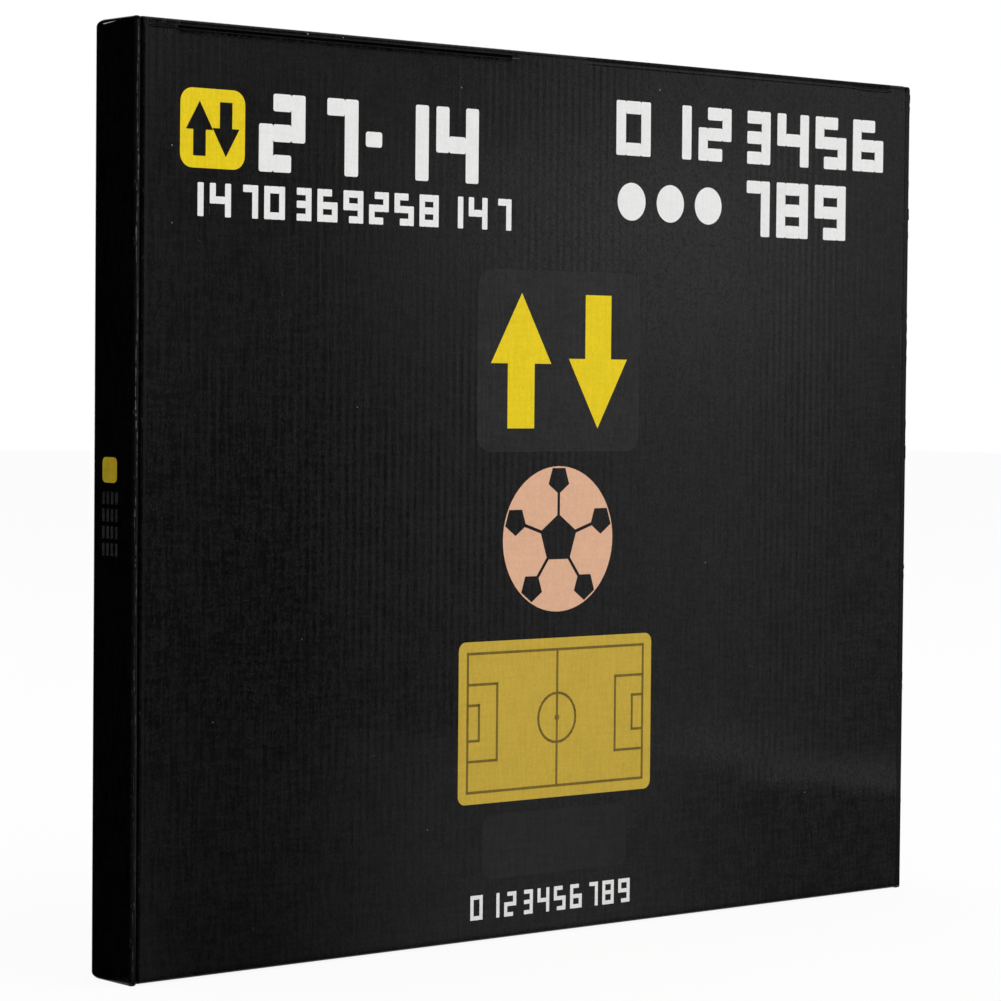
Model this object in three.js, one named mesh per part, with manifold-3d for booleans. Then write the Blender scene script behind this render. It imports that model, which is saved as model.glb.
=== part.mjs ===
// A hand-operated substitution board in the flat corrugated carton that it is sold in.
// Millimetres. X runs across the carton, Y from its front to its back, and Z up.
// The carton stands on its bottom wall, and the origin is the middle of its footprint.

import * as THREE from "three";
import { mergeVertices } from "three/addons/utils/BufferGeometryUtils.js";
import Module from "manifold-3d";

const wasm = await Module();
wasm.setup();

// Carton: outside size and the corrugated board that it is folded from
const cartonWidth = 350;
const cartonDepth = 23;
const cartonHeight = 302;
const caliper = 1.2;
const fit = 0.3;
const rimRadius = 1.2;
const backFoldRadius = 1.8;
const cornerRadius = 2.4;
const topFoldRadius = 1.6;
const stripFlat = 0.15;
const grooveRadius = 0.4;

// Carton: roll-over side walls, their tabs, and the flaps in the corners
const cornerFlapReach = 60;
const cornerFlapTaper = 5;
const tabWidth = 36;
const tabPlaceShare = 0.3;
const tabInset = 0.2;

// Carton: lid, its ears and its tuck flap
const bottomWallSetback = 0.9;
const tuckClearance = 0.6;
const tuckReach = 12;
const tuckSideInset = 3;
const tuckCornerRadius = 8;
const lidFoldRadius = 1.5;
const earReach = 17;
const earEndGap = 6;
const earTaper = 9;

// Room left round the board in the carton
const boardSideGap = 0.8;
const boardTopGap = 3.6;
const boardFrontGap = 1.3;

// Board: frame of four channel rails
const railWidth = 16;
const channelDepth = 6;
const flangeThickness = 1.7;
const railEdgeChamfer = 1.2;

// Board: layers on each side of its middle plane
const reflectorThickness = 0.65;
const reflectorGap = 0.3;
const slideGap = 0.3;
const shutterThickness = 1.2;
const midPlateThickness = 1.2;
const facePlateThickness = 1.9;

// Board: two seven-segment digits
const digitGap = 20;
const windowMargin = 7;
const stemChannel = 11;
const shutterCover = 1;
const windowInset = 1.2;
const hWindowChamfer = 8;
const vWindowChamfer = 5;
const vWindowEndInset = 3;
const shutterChamfer = 2;
const guideWall = 1;
const guideBandClearance = 2;

// Shutter stems and their finger caps
const stemSize = 4.4;
const stemInset = 4;
const slotClearance = 0.8;
const capRadius = 5.5;
const capThickness = 1.3;
const capChamfer = 0.4;
const capDishRadius = 3.4;
const capDishDepth = 0.5;
const capSides = 16;

// Frame screws
const screwShankRadius = 1.5;
const screwHeadRadius = 3;
const screwHeadHeight = 2.2;
const screwLength = 28;
const screwTipLength = 3;
const screwSides = 12;

// Numbers on show at rest: in on the front, out on the back
const numberShown = { in: "27", out: "14" };
const litSegments = {
  0: "abcdef",
  1: "bc",
  2: "abged",
  3: "abgcd",
  4: "fgbc",
  5: "afgcd",
  6: "afgecd",
  7: "abc",
  8: "abcdefg",
  9: "abcdfg",
};

// One overrun serves all cuts
const overrun = 1;
const arcSegments = 4;

// Places worked out from the carton's sizes
const halfWidth = cartonWidth / 2;
const frontY = -cartonDepth / 2;
const backY = cartonDepth / 2;
const topZ = cartonHeight;
const backInnerY = backY - caliper;
const wallBackY = backInnerY - fit;
const rimWidth = 2 * caliper + fit;
const lidHalfWidth = halfWidth - rimWidth - fit;
const lidInnerY = frontY + caliper;
const stripBottomZ = topZ - topFoldRadius - stripFlat - grooveRadius;
const lidTopZ = stripBottomZ - fit;
const lidBottomZ = caliper + tuckClearance;
const tuckTopZ = lidBottomZ + caliper;

// Places worked out for the board
const boardWidth = 2 * (lidHalfWidth - caliper - boardSideGap);
const boardBottomZ = tuckTopZ + fit;
const boardHeight = topZ - caliper - boardTopGap - boardBottomZ;
const boardTopZ = boardBottomZ + boardHeight;
const boardMidZ = (boardBottomZ + boardTopZ) / 2;
const boardThickness = backInnerY - fit - (lidInnerY + boardFrontGap);
const boardMidY = backInnerY - fit - boardThickness / 2;
const halfBoard = boardThickness / 2;
const channelHalf = halfBoard - flangeThickness;
const innerWidth = boardWidth - 2 * railWidth;
const innerHeight = boardHeight - 2 * railWidth;
const plateOverlap = channelDepth - fit;

// Depths of the layers, counted from the board's middle plane towards one face
const faceOuter = channelHalf - fit;
const faceInner = faceOuter - facePlateThickness;
const vShutterOuter = faceInner - slideGap;
const vShutterInner = vShutterOuter - shutterThickness;
const midOuter = vShutterInner - slideGap;
const midInner = midOuter - midPlateThickness;
const hShutterOuter = midInner - slideGap;
const hShutterInner = hShutterOuter - shutterThickness;
const reflectorOuter = reflectorGap / 2 + reflectorThickness;
const capInner = faceOuter + fit;

// A segment takes the widest cell that the frame leaves room for.
// Each digit is three segments and two square holes high.
// A hole takes two drawn shutters with the channel for the lying shutters' stems between them.
const digitRoomWidth = (innerWidth - 2 * windowMargin - digitGap) / 2;
const digitRoomHeight = innerHeight - 2 * windowMargin;
const segmentByWidth = (digitRoomWidth - 6 * shutterCover - stemChannel) / 4;
const segmentByHeight = (digitRoomHeight - 12 * shutterCover - 2 * stemChannel) / 7;
const segment = Math.min(segmentByWidth, segmentByHeight);
const travel = segment + 2 * shutterCover;
const hole = 2 * (travel + shutterCover) + stemChannel;
const digitWidth = 2 * segment + hole;
const digitHeight = 3 * segment + 2 * hole;
const digitBottomZ = boardMidZ - digitHeight / 2;

// Materials
const cartonBlack = new THREE.MeshStandardMaterial({ color: 0x1c1c1c, roughness: 0.35, metalness: 0 });
const kraft = new THREE.MeshStandardMaterial({ color: 0x9a7650, roughness: 0.9, metalness: 0 });
const boardBlack = new THREE.MeshStandardMaterial({ color: 0x202122, roughness: 0.55, metalness: 0 });
const shutterGrey = new THREE.MeshStandardMaterial({ color: 0x363636, roughness: 0.5, metalness: 0 });
const fluorYellow = new THREE.MeshStandardMaterial({ color: 0xe6dc2a, roughness: 0.6, metalness: 0 });
const fluorRed = new THREE.MeshStandardMaterial({ color: 0xe2452c, roughness: 0.6, metalness: 0 });
const steel = new THREE.MeshStandardMaterial({ color: 0x9c9ea0, roughness: 0.35, metalness: 1 });

// Solids from three.js geometries, and geometries from solids
function solid(geometry) {
  const bare = geometry.clone();
  bare.deleteAttribute("normal");
  bare.deleteAttribute("uv");
  const merged = mergeVertices(bare);
  return new wasm.Manifold(
    new wasm.Mesh({
      numProp: 3,
      vertProperties: new Float32Array(merged.attributes.position.array),
      triVerts: new Uint32Array(merged.index.array),
    }),
  );
}

function geometryOf(body) {
  const mesh = body.getMesh();
  const geometry = new THREE.BufferGeometry();
  geometry.setAttribute("position", new THREE.BufferAttribute(mesh.vertProperties, 3));
  geometry.setIndex(new THREE.BufferAttribute(mesh.triVerts, 1));
  const flat = geometry.toNonIndexed();
  flat.computeVertexNormals();
  return flat;
}

function block(x0, x1, y0, y1, z0, z1) {
  const box = new THREE.BoxGeometry(x1 - x0, y1 - y0, z1 - z0);
  return solid(box.translate((x0 + x1) / 2, (y0 + y1) / 2, (z0 + z1) / 2));
}

function extrusion(outline, length) {
  return new THREE.ExtrudeGeometry(outline, {
    depth: length,
    bevelEnabled: false,
    curveSegments: arcSegments,
  });
}

// An outline in X and Y, run up Z
function alongZ(outline, z0, z1) {
  return solid(extrusion(outline, z1 - z0).translate(0, 0, z0));
}

// An outline in X and Z, run back along Y
function alongY(outline, y0, y1) {
  const turn = new THREE.Matrix4().makeBasis(
    new THREE.Vector3(1, 0, 0),
    new THREE.Vector3(0, 0, 1),
    new THREE.Vector3(0, -1, 0),
  );
  return solid(extrusion(outline, y1 - y0).applyMatrix4(turn).translate(0, y1, 0));
}

// An outline in Y and Z, run along X
function alongX(outline, x0, x1) {
  const turn = new THREE.Matrix4().makeBasis(
    new THREE.Vector3(0, 1, 0),
    new THREE.Vector3(0, 0, 1),
    new THREE.Vector3(1, 0, 0),
  );
  return solid(extrusion(outline, x1 - x0).applyMatrix4(turn).translate(x0, 0, 0));
}

function roundedRectangle(x0, x1, y0, y1, radius) {
  const outline = new THREE.Shape();
  outline.moveTo(x0 + radius, y0);
  outline.absarc(x1 - radius, y0 + radius, radius, -Math.PI / 2, 0, false);
  outline.absarc(x1 - radius, y1 - radius, radius, 0, Math.PI / 2, false);
  outline.absarc(x0 + radius, y1 - radius, radius, Math.PI / 2, Math.PI, false);
  outline.absarc(x0 + radius, y0 + radius, radius, Math.PI, 1.5 * Math.PI, false);
  return outline;
}

function chamferedRectangle(x0, x1, y0, y1, chamfer) {
  return new THREE.Shape([
    new THREE.Vector2(x0 + chamfer, y0),
    new THREE.Vector2(x1 - chamfer, y0),
    new THREE.Vector2(x1, y0 + chamfer),
    new THREE.Vector2(x1, y1 - chamfer),
    new THREE.Vector2(x1 - chamfer, y1),
    new THREE.Vector2(x0 + chamfer, y1),
    new THREE.Vector2(x0, y1 - chamfer),
    new THREE.Vector2(x0, y0 + chamfer),
  ]);
}

function polygon(points) {
  return new THREE.Shape(points.map(([x, y]) => new THREE.Vector2(x, y)));
}

const part = new THREE.Group();

function add(name, body, material, parent = part) {
  const mesh = new THREE.Mesh(geometryOf(body), material);
  mesh.name = name;
  parent.add(mesh);
}

// The carton's outside, with its worn corners and the soft folds round its back
const cartonOutside = alongY(
  roundedRectangle(-halfWidth, halfWidth, 0, topZ, cornerRadius),
  frontY,
  backY,
)
  .intersect(
    alongZ(
      roundedRectangle(-halfWidth, halfWidth, frontY - backFoldRadius, backY, backFoldRadius),
      0,
      topZ,
    ),
  )
  .intersect(
    alongX(
      roundedRectangle(frontY - backFoldRadius, backY, 0, topZ, backFoldRadius),
      -halfWidth,
      halfWidth,
    ),
  );

// The inner ply of a side wall runs between the corner flaps, and its two tabs stand at shares of its length
const flapRoom = caliper + fit + cornerFlapReach + fit;
const innerPlyLength = topZ - 2 * flapRoom;

function tabCentres() {
  return [-1, 1].map((side) => topZ / 2 + side * tabPlaceShare * innerPlyLength);
}

// Back panel, with the slots that take the side walls' tabs

function backPanel() {
  let panel = cartonOutside.intersect(
    block(-halfWidth, halfWidth, backInnerY, backY, 0, topZ),
  );
  for (const side of [-1, 1]) {
    const innerFace = side * (halfWidth - rimWidth - fit);
    const outerFace = side * (halfWidth - caliper);
    for (const z of tabCentres()) {
      panel = panel.subtract(
        block(
          Math.min(innerFace, outerFace),
          Math.max(innerFace, outerFace),
          backInnerY - overrun,
          backY + overrun,
          z - tabWidth / 2 - fit,
          z + tabWidth / 2 + fit,
        ),
      );
    }
  }
  return panel;
}

// A wall across the carton passes behind the rims of the side walls
function clearOfRims(body) {
  let cut = body;
  for (const side of [-1, 1]) {
    const inner = side * lidHalfWidth;
    const outer = side * (halfWidth + overrun);
    cut = cut.subtract(
      block(
        Math.min(inner, outer),
        Math.max(inner, outer),
        frontY - overrun,
        lidInnerY + fit,
        -overrun,
        topZ + overrun,
      ),
    );
  }
  return cut;
}

// Top wall, which folds over at its front and ends at the hinge crease.
// The crease is a groove in the outer face, and the lid turns about the liner at its mouth.
function topWall() {
  const foldY = frontY + topFoldRadius;
  const foldZ = topZ - topFoldRadius;
  const outline = new THREE.Shape();
  outline.moveTo(wallBackY, topZ);
  outline.lineTo(foldY, topZ);
  outline.absarc(foldY, foldZ, topFoldRadius, Math.PI / 2, Math.PI, false);
  outline.absarc(
    frontY + grooveRadius,
    stripBottomZ + grooveRadius,
    grooveRadius,
    Math.PI,
    1.5 * Math.PI,
    false,
  );
  outline.lineTo(lidInnerY, stripBottomZ);
  outline.absarc(foldY, foldZ, topFoldRadius - caliper, Math.PI, Math.PI / 2, true);
  outline.lineTo(wallBackY, topZ - caliper);
  const reach = halfWidth - caliper - fit;
  return clearOfRims(alongX(outline, -reach, reach));
}

function bottomWall() {
  const reach = halfWidth - caliper - fit;
  return clearOfRims(
    cartonOutside.intersect(
      block(-reach, reach, frontY + bottomWallSetback, wallBackY, 0, caliper),
    ),
  );
}

// Side wall on the left: an outer ply, a rounded rim at the front, and an inner ply rolled back inside it.
// The inner ply stops short of the corner flaps, and two tabs on it lock through the back panel.
function leftWall() {
  const outer = -halfWidth;
  const inner = outer + rimWidth;
  const innerPly = outer + caliper + fit;
  const outline = new THREE.Shape();
  outline.moveTo(outer, wallBackY);
  outline.lineTo(outer, frontY + rimRadius);
  outline.absarc(outer + rimRadius, frontY + rimRadius, rimRadius, Math.PI, 1.5 * Math.PI, false);
  outline.absarc(inner - rimRadius, frontY + rimRadius, rimRadius, 1.5 * Math.PI, 2 * Math.PI, false);
  outline.lineTo(inner, wallBackY);
  outline.lineTo(innerPly, wallBackY);
  outline.lineTo(innerPly, lidInnerY);
  outline.lineTo(outer + caliper, lidInnerY);
  outline.lineTo(outer + caliper, wallBackY);
  let wall = alongZ(outline, 0, topZ).intersect(cartonOutside);
  const cutEnds = [
    [-overrun, flapRoom],
    [topZ - flapRoom, topZ + overrun],
  ];
  for (const [z0, z1] of cutEnds) {
    wall = wall.subtract(
      block(outer + caliper, inner + overrun, lidInnerY, wallBackY + overrun, z0, z1),
    );
  }
  for (const z of tabCentres()) {
    const seat = wallBackY - overrun;
    wall = wall.add(
      block(innerPly, inner, seat, backY - tabInset, z - tabWidth / 2, z + tabWidth / 2),
    );
  }
  return wall;
}

// Flap in a lower left corner: it turns up from the bottom wall, inside the side wall's outer ply
function cornerFlap() {
  const bottom = caliper + fit;
  const top = bottom + cornerFlapReach;
  const front = lidInnerY + fit;
  const outline = polygon([
    [front, bottom],
    [wallBackY, bottom],
    [wallBackY, top - cornerFlapTaper],
    [wallBackY - cornerFlapTaper, top],
    [front + cornerFlapTaper, top],
    [front, top - cornerFlapTaper],
  ]);
  const outer = -halfWidth + caliper + fit;
  return alongX(outline, outer, outer + caliper);
}

function mirroredInX(body) {
  return body.mirror([1, 0, 0]);
}

function mirroredInZ(body) {
  return body.mirror([0, 0, 1]).translate([0, 0, topZ]);
}

add("back_panel", backPanel(), cartonBlack);
add("top_wall", topWall(), cartonBlack);
add("bottom_wall", bottomWall(), cartonBlack);
add("left_wall", leftWall(), cartonBlack);
add("right_wall", mirroredInX(leftWall()), cartonBlack);
add("corner_flap_bottom_left", cornerFlap(), kraft);
add("corner_flap_bottom_right", mirroredInX(cornerFlap()), kraft);
add("corner_flap_top_left", mirroredInZ(cornerFlap()), kraft);
add("corner_flap_top_right", mirroredInX(mirroredInZ(cornerFlap())), kraft);

// Lid, folded at its sides into the ears and at its bottom into the tuck flap
function lidPanel() {
  const across = roundedRectangle(
    -lidHalfWidth,
    lidHalfWidth,
    frontY,
    lidInnerY + rimRadius,
    rimRadius,
  );
  const down = new THREE.Shape();
  down.moveTo(lidInnerY + lidFoldRadius, lidTopZ);
  down.absarc(
    frontY + grooveRadius,
    lidTopZ - grooveRadius,
    grooveRadius,
    Math.PI / 2,
    Math.PI,
    false,
  );
  down.absarc(
    frontY + lidFoldRadius,
    lidBottomZ + lidFoldRadius,
    lidFoldRadius,
    Math.PI,
    1.5 * Math.PI,
    false,
  );
  down.lineTo(lidInnerY + lidFoldRadius, lidBottomZ);
  return alongZ(across, lidBottomZ, lidTopZ)
    .intersect(alongX(down, -lidHalfWidth, lidHalfWidth))
    .intersect(block(-lidHalfWidth, lidHalfWidth, frontY, lidInnerY, 0, topZ));
}

function lidEar() {
  const front = lidInnerY + fit;
  const bottom = lidBottomZ + earEndGap;
  const top = lidTopZ - earEndGap;
  const outline = polygon([
    [front, bottom],
    [front + earReach - earTaper, bottom],
    [front + earReach, bottom + earTaper],
    [front + earReach, top - earTaper],
    [front + earReach - earTaper, top],
    [front, top],
  ]);
  return alongX(outline, -lidHalfWidth, -lidHalfWidth + caliper);
}

function tuckFlap() {
  const reach = lidHalfWidth - tuckSideInset;
  const front = lidInnerY + fit;
  const outline = roundedRectangle(
    -reach,
    reach,
    front - 2 * tuckCornerRadius,
    front + tuckReach,
    tuckCornerRadius,
  );
  return alongZ(outline, lidBottomZ, tuckTopZ).intersect(
    block(-reach, reach, front, front + tuckReach, lidBottomZ, tuckTopZ),
  );
}

add("lid_panel", lidPanel(), cartonBlack);
add("lid_ear_left", lidEar(), kraft);
add("lid_ear_right", mirroredInX(lidEar()), kraft);
add("tuck_flap", tuckFlap(), kraft);

// Screws run up or down through a rail's end into the side rail that it meets
const screwX = boardWidth / 2 - (railWidth - channelDepth) / 2;

function screwHoles(body) {
  let drilled = body;
  for (const side of [-1, 1]) {
    for (const [seatZ, direction] of [
      [boardTopZ, -1],
      [boardBottomZ, 1],
    ]) {
      const shank = new THREE.CylinderGeometry(
        screwShankRadius + fit,
        screwShankRadius + fit,
        2 * (screwLength + overrun),
        screwSides,
      );
      const head = new THREE.CylinderGeometry(
        screwHeadRadius + fit,
        screwHeadRadius + fit,
        2 * (screwHeadHeight + 2 * fit),
        screwSides,
      );
      for (const bore of [shank, head]) {
        bore.rotateX((direction * Math.PI) / 2);
        bore.translate(side * screwX, boardMidY, seatZ);
        drilled = drilled.subtract(solid(bore));
      }
    }
  }
  return drilled;
}

// Rail across the top: a channel that opens downwards over the plates' edges
function railOutline() {
  const half = boardWidth / 2;
  return polygon([
    [-half + railEdgeChamfer, boardTopZ],
    [-half, boardTopZ - railEdgeChamfer],
    [-half, boardTopZ - railWidth],
    [half, boardTopZ - railWidth],
    [half, boardTopZ - railEdgeChamfer],
    [half - railEdgeChamfer, boardTopZ],
  ]);
}

function topRail() {
  const channelEnd = innerWidth / 2 + channelDepth;
  const channelTop = boardTopZ - railWidth + channelDepth;
  const body = alongY(railOutline(), boardMidY - halfBoard, boardMidY + halfBoard).subtract(
    block(
      -channelEnd,
      channelEnd,
      boardMidY - channelHalf,
      boardMidY + channelHalf,
      boardTopZ - railWidth - overrun,
      channelTop,
    ),
  );
  return screwHoles(body);
}

function bottomRail() {
  return topRail().mirror([0, 0, 1]).translate([0, 0, 2 * boardMidZ]);
}

function sideRail() {
  const outer = -boardWidth / 2;
  const inner = outer + railWidth;
  const bottom = boardBottomZ + railWidth + fit;
  const top = boardTopZ - railWidth - fit;
  const body = block(outer, inner, boardMidY - halfBoard, boardMidY + halfBoard, bottom, top).subtract(
    block(
      inner - channelDepth,
      inner + overrun,
      boardMidY - channelHalf,
      boardMidY + channelHalf,
      bottom - overrun,
      top + overrun,
    ),
  );
  return screwHoles(body);
}

add("frame_rail_top", topRail(), boardBlack);
add("frame_rail_bottom", bottomRail(), boardBlack);
add("frame_rail_left", sideRail(), boardBlack);
add("frame_rail_right", mirroredInX(sideRail()), boardBlack);

function frameScrew() {
  const outline = [
    new THREE.Vector2(0, 0),
    new THREE.Vector2(screwHeadRadius, 0),
    new THREE.Vector2(screwHeadRadius, -screwHeadHeight / 2),
    new THREE.Vector2(screwShankRadius, -screwHeadHeight),
    new THREE.Vector2(screwShankRadius, -screwLength + screwTipLength),
    new THREE.Vector2(0, -screwLength),
  ].reverse();
  return new THREE.LatheGeometry(outline, screwSides).rotateX(Math.PI / 2);
}

function addScrew(name, side, seatZ, turn) {
  const screw = new THREE.Group();
  screw.position.set(side * screwX, boardMidY, seatZ);
  screw.rotation.x = turn;
  add(name, solid(frameScrew()), steel, screw);
  part.add(screw);
}

addScrew("screw_top_left", -1, boardTopZ - fit, 0);
addScrew("screw_top_right", 1, boardTopZ - fit, 0);
addScrew("screw_bottom_left", -1, boardBottomZ + fit, Math.PI);
addScrew("screw_bottom_right", 1, boardBottomZ + fit, Math.PI);

// One side of the board is built facing the front.
// A layer at a depth from the middle plane lies at that distance in front of it.
function layer(x0, x1, near, far, z0, z1) {
  return block(x0, x1, boardMidY - far, boardMidY - near, z0, z1);
}

function outlineLayer(outline, near, far) {
  return alongY(outline, boardMidY - far, boardMidY - near);
}

const plateHalfWidth = innerWidth / 2 + plateOverlap;
const plateBottomZ = boardBottomZ + railWidth - plateOverlap;
const plateTopZ = boardTopZ - railWidth + plateOverlap;

// The left edges of the two digits
const digitPlaces = { tens: -digitGap / 2 - digitWidth, units: digitGap / 2 };

// Cells of the seven segments in a digit, as the corner nearest its lower left, its size and the way its shutter opens
const lowerHole = segment;
const upperHole = 2 * segment + hole;
const cells = {
  a: { u: 0, v: upperHole + hole, lies: true, opens: [0, -1] },
  b: { u: segment + hole, v: upperHole, lies: false, opens: [-1, 0] },
  c: { u: segment + hole, v: lowerHole, lies: false, opens: [-1, 0] },
  d: { u: 0, v: 0, lies: true, opens: [0, 1] },
  e: { u: 0, v: lowerHole, lies: false, opens: [1, 0] },
  f: { u: 0, v: upperHole, lies: false, opens: [1, 0] },
  g: { u: 0, v: segment + hole, lies: true, opens: [0, 1] },
};

function cellBox(place, cell, sideInset, endInset) {
  const width = cell.lies ? digitWidth : segment;
  const height = cell.lies ? segment : hole;
  const insetU = cell.lies ? endInset : sideInset;
  const insetV = cell.lies ? sideInset : endInset;
  return {
    x0: place + cell.u + insetU,
    x1: place + cell.u + width - insetU,
    z0: digitBottomZ + cell.v + insetV,
    z1: digitBottomZ + cell.v + height - insetV,
  };
}

// Where a shutter's stem stands while it covers its window
function stemPlace(place, cell) {
  const box = cellBox(place, cell, -shutterCover, 0);
  const [toX, toZ] = cell.opens;
  const midX = (box.x0 + box.x1) / 2;
  const midZ = (box.z0 + box.z1) / 2;
  const reach = segment / 2 + shutterCover - stemInset;
  return { x: midX + toX * reach, z: midZ + toZ * reach };
}

function windowOutline(place, cell) {
  const endInset = cell.lies ? windowInset : vWindowEndInset;
  const box = cellBox(place, cell, windowInset, endInset);
  const chamfer = cell.lies ? hWindowChamfer : vWindowChamfer;
  return chamferedRectangle(box.x0, box.x1, box.z0, box.z1, chamfer);
}

function stemSlot(place, cell, near, far) {
  const stem = stemPlace(place, cell);
  const [toX, toZ] = cell.opens;
  const half = stemSize / 2 + slotClearance;
  const endX = stem.x + toX * travel;
  const endZ = stem.z + toZ * travel;
  return layer(
    Math.min(stem.x, endX) - half,
    Math.max(stem.x, endX) + half,
    near,
    far,
    Math.min(stem.z, endZ) - half,
    Math.max(stem.z, endZ) + half,
  );
}

function facePlate() {
  let plate = layer(-plateHalfWidth, plateHalfWidth, faceInner, faceOuter, plateBottomZ, plateTopZ);
  for (const place of Object.values(digitPlaces)) {
    for (const cell of Object.values(cells)) {
      plate = plate
        .subtract(outlineLayer(windowOutline(place, cell), faceInner - overrun, faceOuter + overrun))
        .subtract(stemSlot(place, cell, faceInner - overrun, faceOuter + overrun));
    }
  }
  return plate;
}

// The plate behind the upright windows shows its own bright colour through them.
// It is open behind the lying windows, whose shutters slide on its far side.
function midPlate() {
  let plate = layer(-plateHalfWidth, plateHalfWidth, midInner, midOuter, plateBottomZ, plateTopZ);
  const bandReach = digitGap / 2 + digitWidth + guideBandClearance;
  const bandHeight = digitHeight / 2 + guideBandClearance;
  for (const [near, far] of [
    [midOuter, faceInner - slideGap],
    [reflectorOuter + slideGap, midInner],
  ]) {
    const band = layer(-plateHalfWidth, plateHalfWidth, near, far, plateBottomZ, plateTopZ).subtract(
      layer(
        -bandReach,
        bandReach,
        near - overrun,
        far + overrun,
        boardMidZ - bandHeight,
        boardMidZ + bandHeight,
      ),
    );
    const middleReach = digitGap / 2 - guideBandClearance;
    const middle = layer(-middleReach, middleReach, near, far, plateBottomZ, plateTopZ);
    plate = plate.add(band).add(middle);
  }
  for (const place of Object.values(digitPlaces)) {
    for (const cell of Object.values(cells).filter((each) => each.lies)) {
      const opening = cellBox(place, cell, windowInset, windowInset);
      const wall = cellBox(place, cell, windowInset - guideWall, windowInset - guideWall);
      plate = plate.add(layer(wall.x0, wall.x1, midOuter, faceInner - slideGap, wall.z0, wall.z1));
      plate = plate.subtract(
        layer(
          opening.x0,
          opening.x1,
          midInner - overrun,
          faceInner + overrun,
          opening.z0,
          opening.z1,
        ),
      );
      plate = plate.subtract(stemSlot(place, cell, midInner - overrun, faceInner + overrun));
    }
  }
  return plate;
}

function reflector() {
  return layer(
    -plateHalfWidth,
    plateHalfWidth,
    reflectorGap / 2,
    reflectorOuter,
    plateBottomZ,
    plateTopZ,
  );
}

// Finger cap: a low round button, dished for the fingertip
function fingerCap(stem) {
  const outline = [
    new THREE.Vector2(0, 0),
    new THREE.Vector2(capRadius, 0),
    new THREE.Vector2(capRadius, capThickness - capChamfer),
    new THREE.Vector2(capRadius - capChamfer, capThickness),
    new THREE.Vector2(capDishRadius, capThickness),
    new THREE.Vector2(0, capThickness - capDishDepth),
  ];
  const cap = new THREE.LatheGeometry(outline, capSides);
  cap.rotateX(Math.PI);
  return solid(cap.translate(stem.x, boardMidY - capInner, stem.z));
}

// A shutter is a thin slide, a square stem through the slots in front of it, and the cap on the stem
function shutter(place, cell) {
  const sideCover = -shutterCover;
  const endCover = cell.lies ? -shutterCover : windowInset - guideWall;
  const box = cellBox(place, cell, sideCover, endCover);
  const near = cell.lies ? hShutterInner : vShutterInner;
  const far = cell.lies ? hShutterOuter : vShutterOuter;
  const stem = stemPlace(place, cell);
  const half = stemSize / 2;
  const overlap = capThickness / 2;
  return outlineLayer(chamferedRectangle(box.x0, box.x1, box.z0, box.z1, shutterChamfer), near, far)
    .add(
      layer(
        stem.x - half,
        stem.x + half,
        far - shutterThickness / 2,
        capInner + overlap,
        stem.z - half,
        stem.z + half,
      ),
    )
    .add(fingerCap(stem));
}

function addSide(side, brightColour, parent) {
  add("face_plate_" + side, facePlate(), boardBlack, parent);
  add("mid_plate_" + side, midPlate(), brightColour, parent);
  add("reflector_" + side, reflector(), brightColour, parent);
  Object.entries(digitPlaces).forEach(([digit, place], index) => {
    const lit = litSegments[numberShown[side][index]];
    for (const [letter, cell] of Object.entries(cells)) {
      const drawn = lit.includes(letter) ? travel : 0;
      const [toX, toZ] = cell.opens;
      const slide = new THREE.Group();
      slide.position.set(toX * drawn, 0, toZ * drawn);
      add("shutter_" + side + "_" + digit + "_" + letter, shutter(place, cell), shutterGrey, slide);
      parent.add(slide);
    }
  });
}

addSide("in", fluorYellow, part);

// The other side is the same, turned half round about the board's own upright axis
const turned = new THREE.Group();
turned.rotation.z = Math.PI;
turned.position.set(0, 2 * boardMidY, 0);
addSide("out", fluorRed, turned);
part.add(turned);

export default part;
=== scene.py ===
"""Looks of a substitution board in its flat carton of fine corrugated board.

Every length is in metres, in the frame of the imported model: X across the carton, Y from its front to its back,
Z up from the surface that it stands on.
"""

import math

import bmesh
import bpy
import numpy as np
from mathutils import Matrix, Vector, noise


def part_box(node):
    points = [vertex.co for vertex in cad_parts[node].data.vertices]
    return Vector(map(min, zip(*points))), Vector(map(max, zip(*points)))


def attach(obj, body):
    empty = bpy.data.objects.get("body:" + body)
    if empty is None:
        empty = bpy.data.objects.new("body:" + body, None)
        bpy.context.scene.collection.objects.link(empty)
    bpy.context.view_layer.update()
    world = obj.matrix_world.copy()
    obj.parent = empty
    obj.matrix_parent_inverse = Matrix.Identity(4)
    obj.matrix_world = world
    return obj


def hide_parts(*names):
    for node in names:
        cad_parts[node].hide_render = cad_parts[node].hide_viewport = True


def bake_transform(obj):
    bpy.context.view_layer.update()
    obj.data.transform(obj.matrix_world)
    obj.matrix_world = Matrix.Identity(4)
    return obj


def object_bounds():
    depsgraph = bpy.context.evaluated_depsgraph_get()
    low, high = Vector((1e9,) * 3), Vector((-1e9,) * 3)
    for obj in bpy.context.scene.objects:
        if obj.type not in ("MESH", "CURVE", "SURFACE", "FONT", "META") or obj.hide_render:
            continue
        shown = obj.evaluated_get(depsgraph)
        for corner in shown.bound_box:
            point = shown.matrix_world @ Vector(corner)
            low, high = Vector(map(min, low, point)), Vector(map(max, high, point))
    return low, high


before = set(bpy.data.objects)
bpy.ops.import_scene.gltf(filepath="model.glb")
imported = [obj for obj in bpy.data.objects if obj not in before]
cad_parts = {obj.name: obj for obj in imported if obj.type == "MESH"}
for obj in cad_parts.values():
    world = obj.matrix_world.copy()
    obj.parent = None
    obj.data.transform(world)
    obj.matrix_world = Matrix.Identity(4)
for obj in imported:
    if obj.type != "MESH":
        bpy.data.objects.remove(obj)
cad_low, cad_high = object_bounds()

MM = 0.001
scene = bpy.context.scene
scene.view_settings.view_transform = "Standard"

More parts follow.
